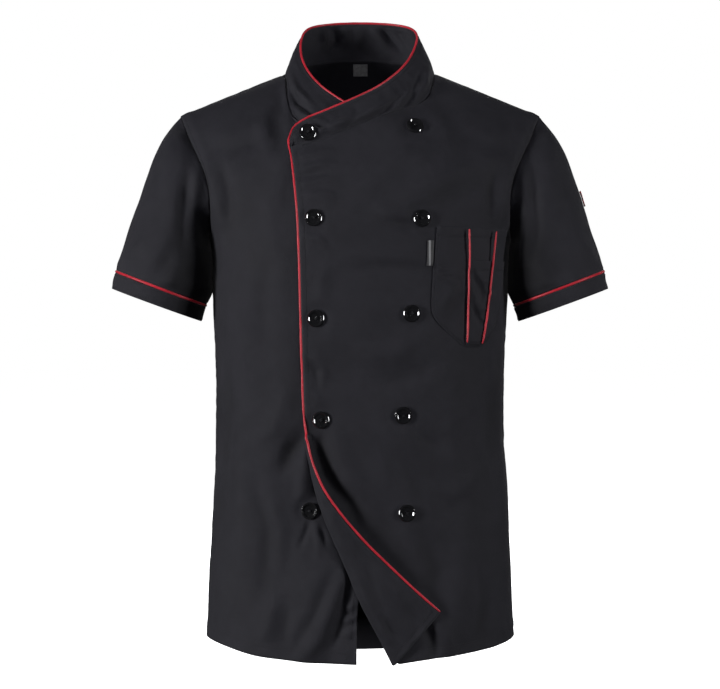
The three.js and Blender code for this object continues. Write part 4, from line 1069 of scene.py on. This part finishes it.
strands = bmesh.new()
dish_floor = 0.73 * BUTTON_H + sum(rise for _, rise in RIM_STEPS + DISH_STEPS) * MM
for angle, rise in ((45, 0.25), (135, 0.55)):
    spoke = Vector((math.cos(math.radians(angle)), math.sin(math.radians(angle)), 0))
    for shift in (-0.35, 0.35):
        middle = Vector((spoke.y, -spoke.x, 0)) * shift * MM + Vector((0, 0, dish_floor + rise * MM))
        ends = [middle + spoke * HOLE_AWAY, middle - spoke * HOLE_AWAY]
        bead_between(strands, *ends, 0.36 * MM, Vector((0, 0, 1)), 6, STRAND_RINGS)
strand_mesh = bpy.data.meshes.new("strands")
strands.to_mesh(strand_mesh)
strands.free()

# Each button is seated on its CAD node: its axis is the direction in which the node is flattest
for node in BUTTON_NODES:
    corners = positions(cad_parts[node].data)
    middle = corners.mean(axis=0)
    axis = np.linalg.svd(corners - middle)[2][2]
    outward = np.array([middle[0] * 0.3, middle[1], 0])
    if axis @ outward < 0:
        axis = -axis
    up = Vector(axis)
    spin = up.to_track_quat("Z", "Y").to_matrix().to_4x4()
    local = (corners - middle) @ np.array(spin.to_3x3())
    low, high = local.min(axis=0), local.max(axis=0)
    foot = np.array([(low[0] + high[0]) / 2, (low[1] + high[1]) / 2, low[2]])
    seat = Vector(middle + np.array(spin.to_3x3()) @ foot) - up * 0.5 * MM
    settle = Matrix.Translation(seat) @ spin @ Matrix.Rotation(sum(map(ord, node)), 4, "Z")
    for source, name, material, slot in (
        (button.data, node, plastic, "gloss_black_buttons"),
        (strand_mesh, "thread_" + node, thread_black, "black_cloth"),
    ):
        mesh = source.copy()
        mesh.transform(settle)
        piece = bpy.data.objects.new("sewn_" + name, mesh)
        bpy.context.scene.collection.objects.link(piece)
        mesh.materials.clear()
        mesh.materials.append(material)
        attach(piece, "root")
        bpy.ops.object.select_all(action="DESELECT")
        piece.select_set(True)
        bpy.context.view_layer.objects.active = piece
        bpy.ops.object.shade_smooth_by_angle(angle=math.radians(35))
        if source is button.data:
            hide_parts(node)
bpy.data.objects.remove(button)

# Floor and light
# A plain pale floor under the garment and a white room, which light nothing, and five soft lamps: the
# key from the left, a narrow one from the right, a broad one from behind, and weak ones from above
# and in front.
bpy.ops.object.select_all(action="DESELECT")
bpy.ops.mesh.primitive_circle_add(vertices=96, radius=30, fill_type="NGON", location=(0, 0, -0.79))
floor = bpy.context.object
floor.name = "floor"
pale = Finish(
    "pale_floor", Roughness=0.9, Specular_IOR_Level=0.1, Emission_Color=(1, 1, 1, 1), Emission_Strength=1.0,
)
cloud = pale.grain(pale.place(), 3, 2)
paint = pale.mix(cloud, (0.88, 0.88, 0.885, 1), (0.92, 0.92, 0.92, 1))
floor.data.materials.append(pale.set(Base_Color=paint))
floor.visible_diffuse = False
floor.visible_glossy = False

world = bpy.data.worlds.new("room")
bpy.context.scene.world = world
world.use_nodes = True
world.node_tree.nodes["Background"].inputs[0].default_value = (1.0, 1.0, 1.0, 1)
world.node_tree.nodes["Background"].inputs[1].default_value = 1.0
world.cycles_visibility.diffuse = False
world.cycles_visibility.glossy = False


def soft_light(name, place, aim, width, height, power, glossy=True):
    data = bpy.data.lights.new(name, "AREA")
    data.shape = "RECTANGLE"
    data.size = width
    data.size_y = height
    data.energy = power
    data.color = (0.98, 0.98, 1.0)
    lamp = bpy.data.objects.new(name, data)
    lamp.location = place
    lamp.rotation_euler = (Vector(aim) - Vector(place)).to_track_quat("-Z", "Y").to_euler()
    lamp.visible_camera = False
    lamp.visible_glossy = glossy
    bpy.context.scene.collection.objects.link(lamp)


soft_light("key", (-2.7, -1.7, -0.42), (0, 0, -0.42), 0.7, 1.7, 172)
soft_light("top", (-0.4, -0.9, 2.4), (0, 0, -0.1), 1.4, 0.8, 20, False)
soft_light("fill", (0.4, -3.3, 0.6), (0, 0, -0.3), 1.6, 1.2, 29, False)
soft_light("right", (2.6, -1.3, -0.2), (0, 0, -0.35), 0.4, 1.7, 62)
soft_light("behind", (0.2, 2.6, 0.9), (0, 0, -0.3), 2.2, 1.4, 110, False)
bpy.context.scene.view_settings.view_transform = "Standard"
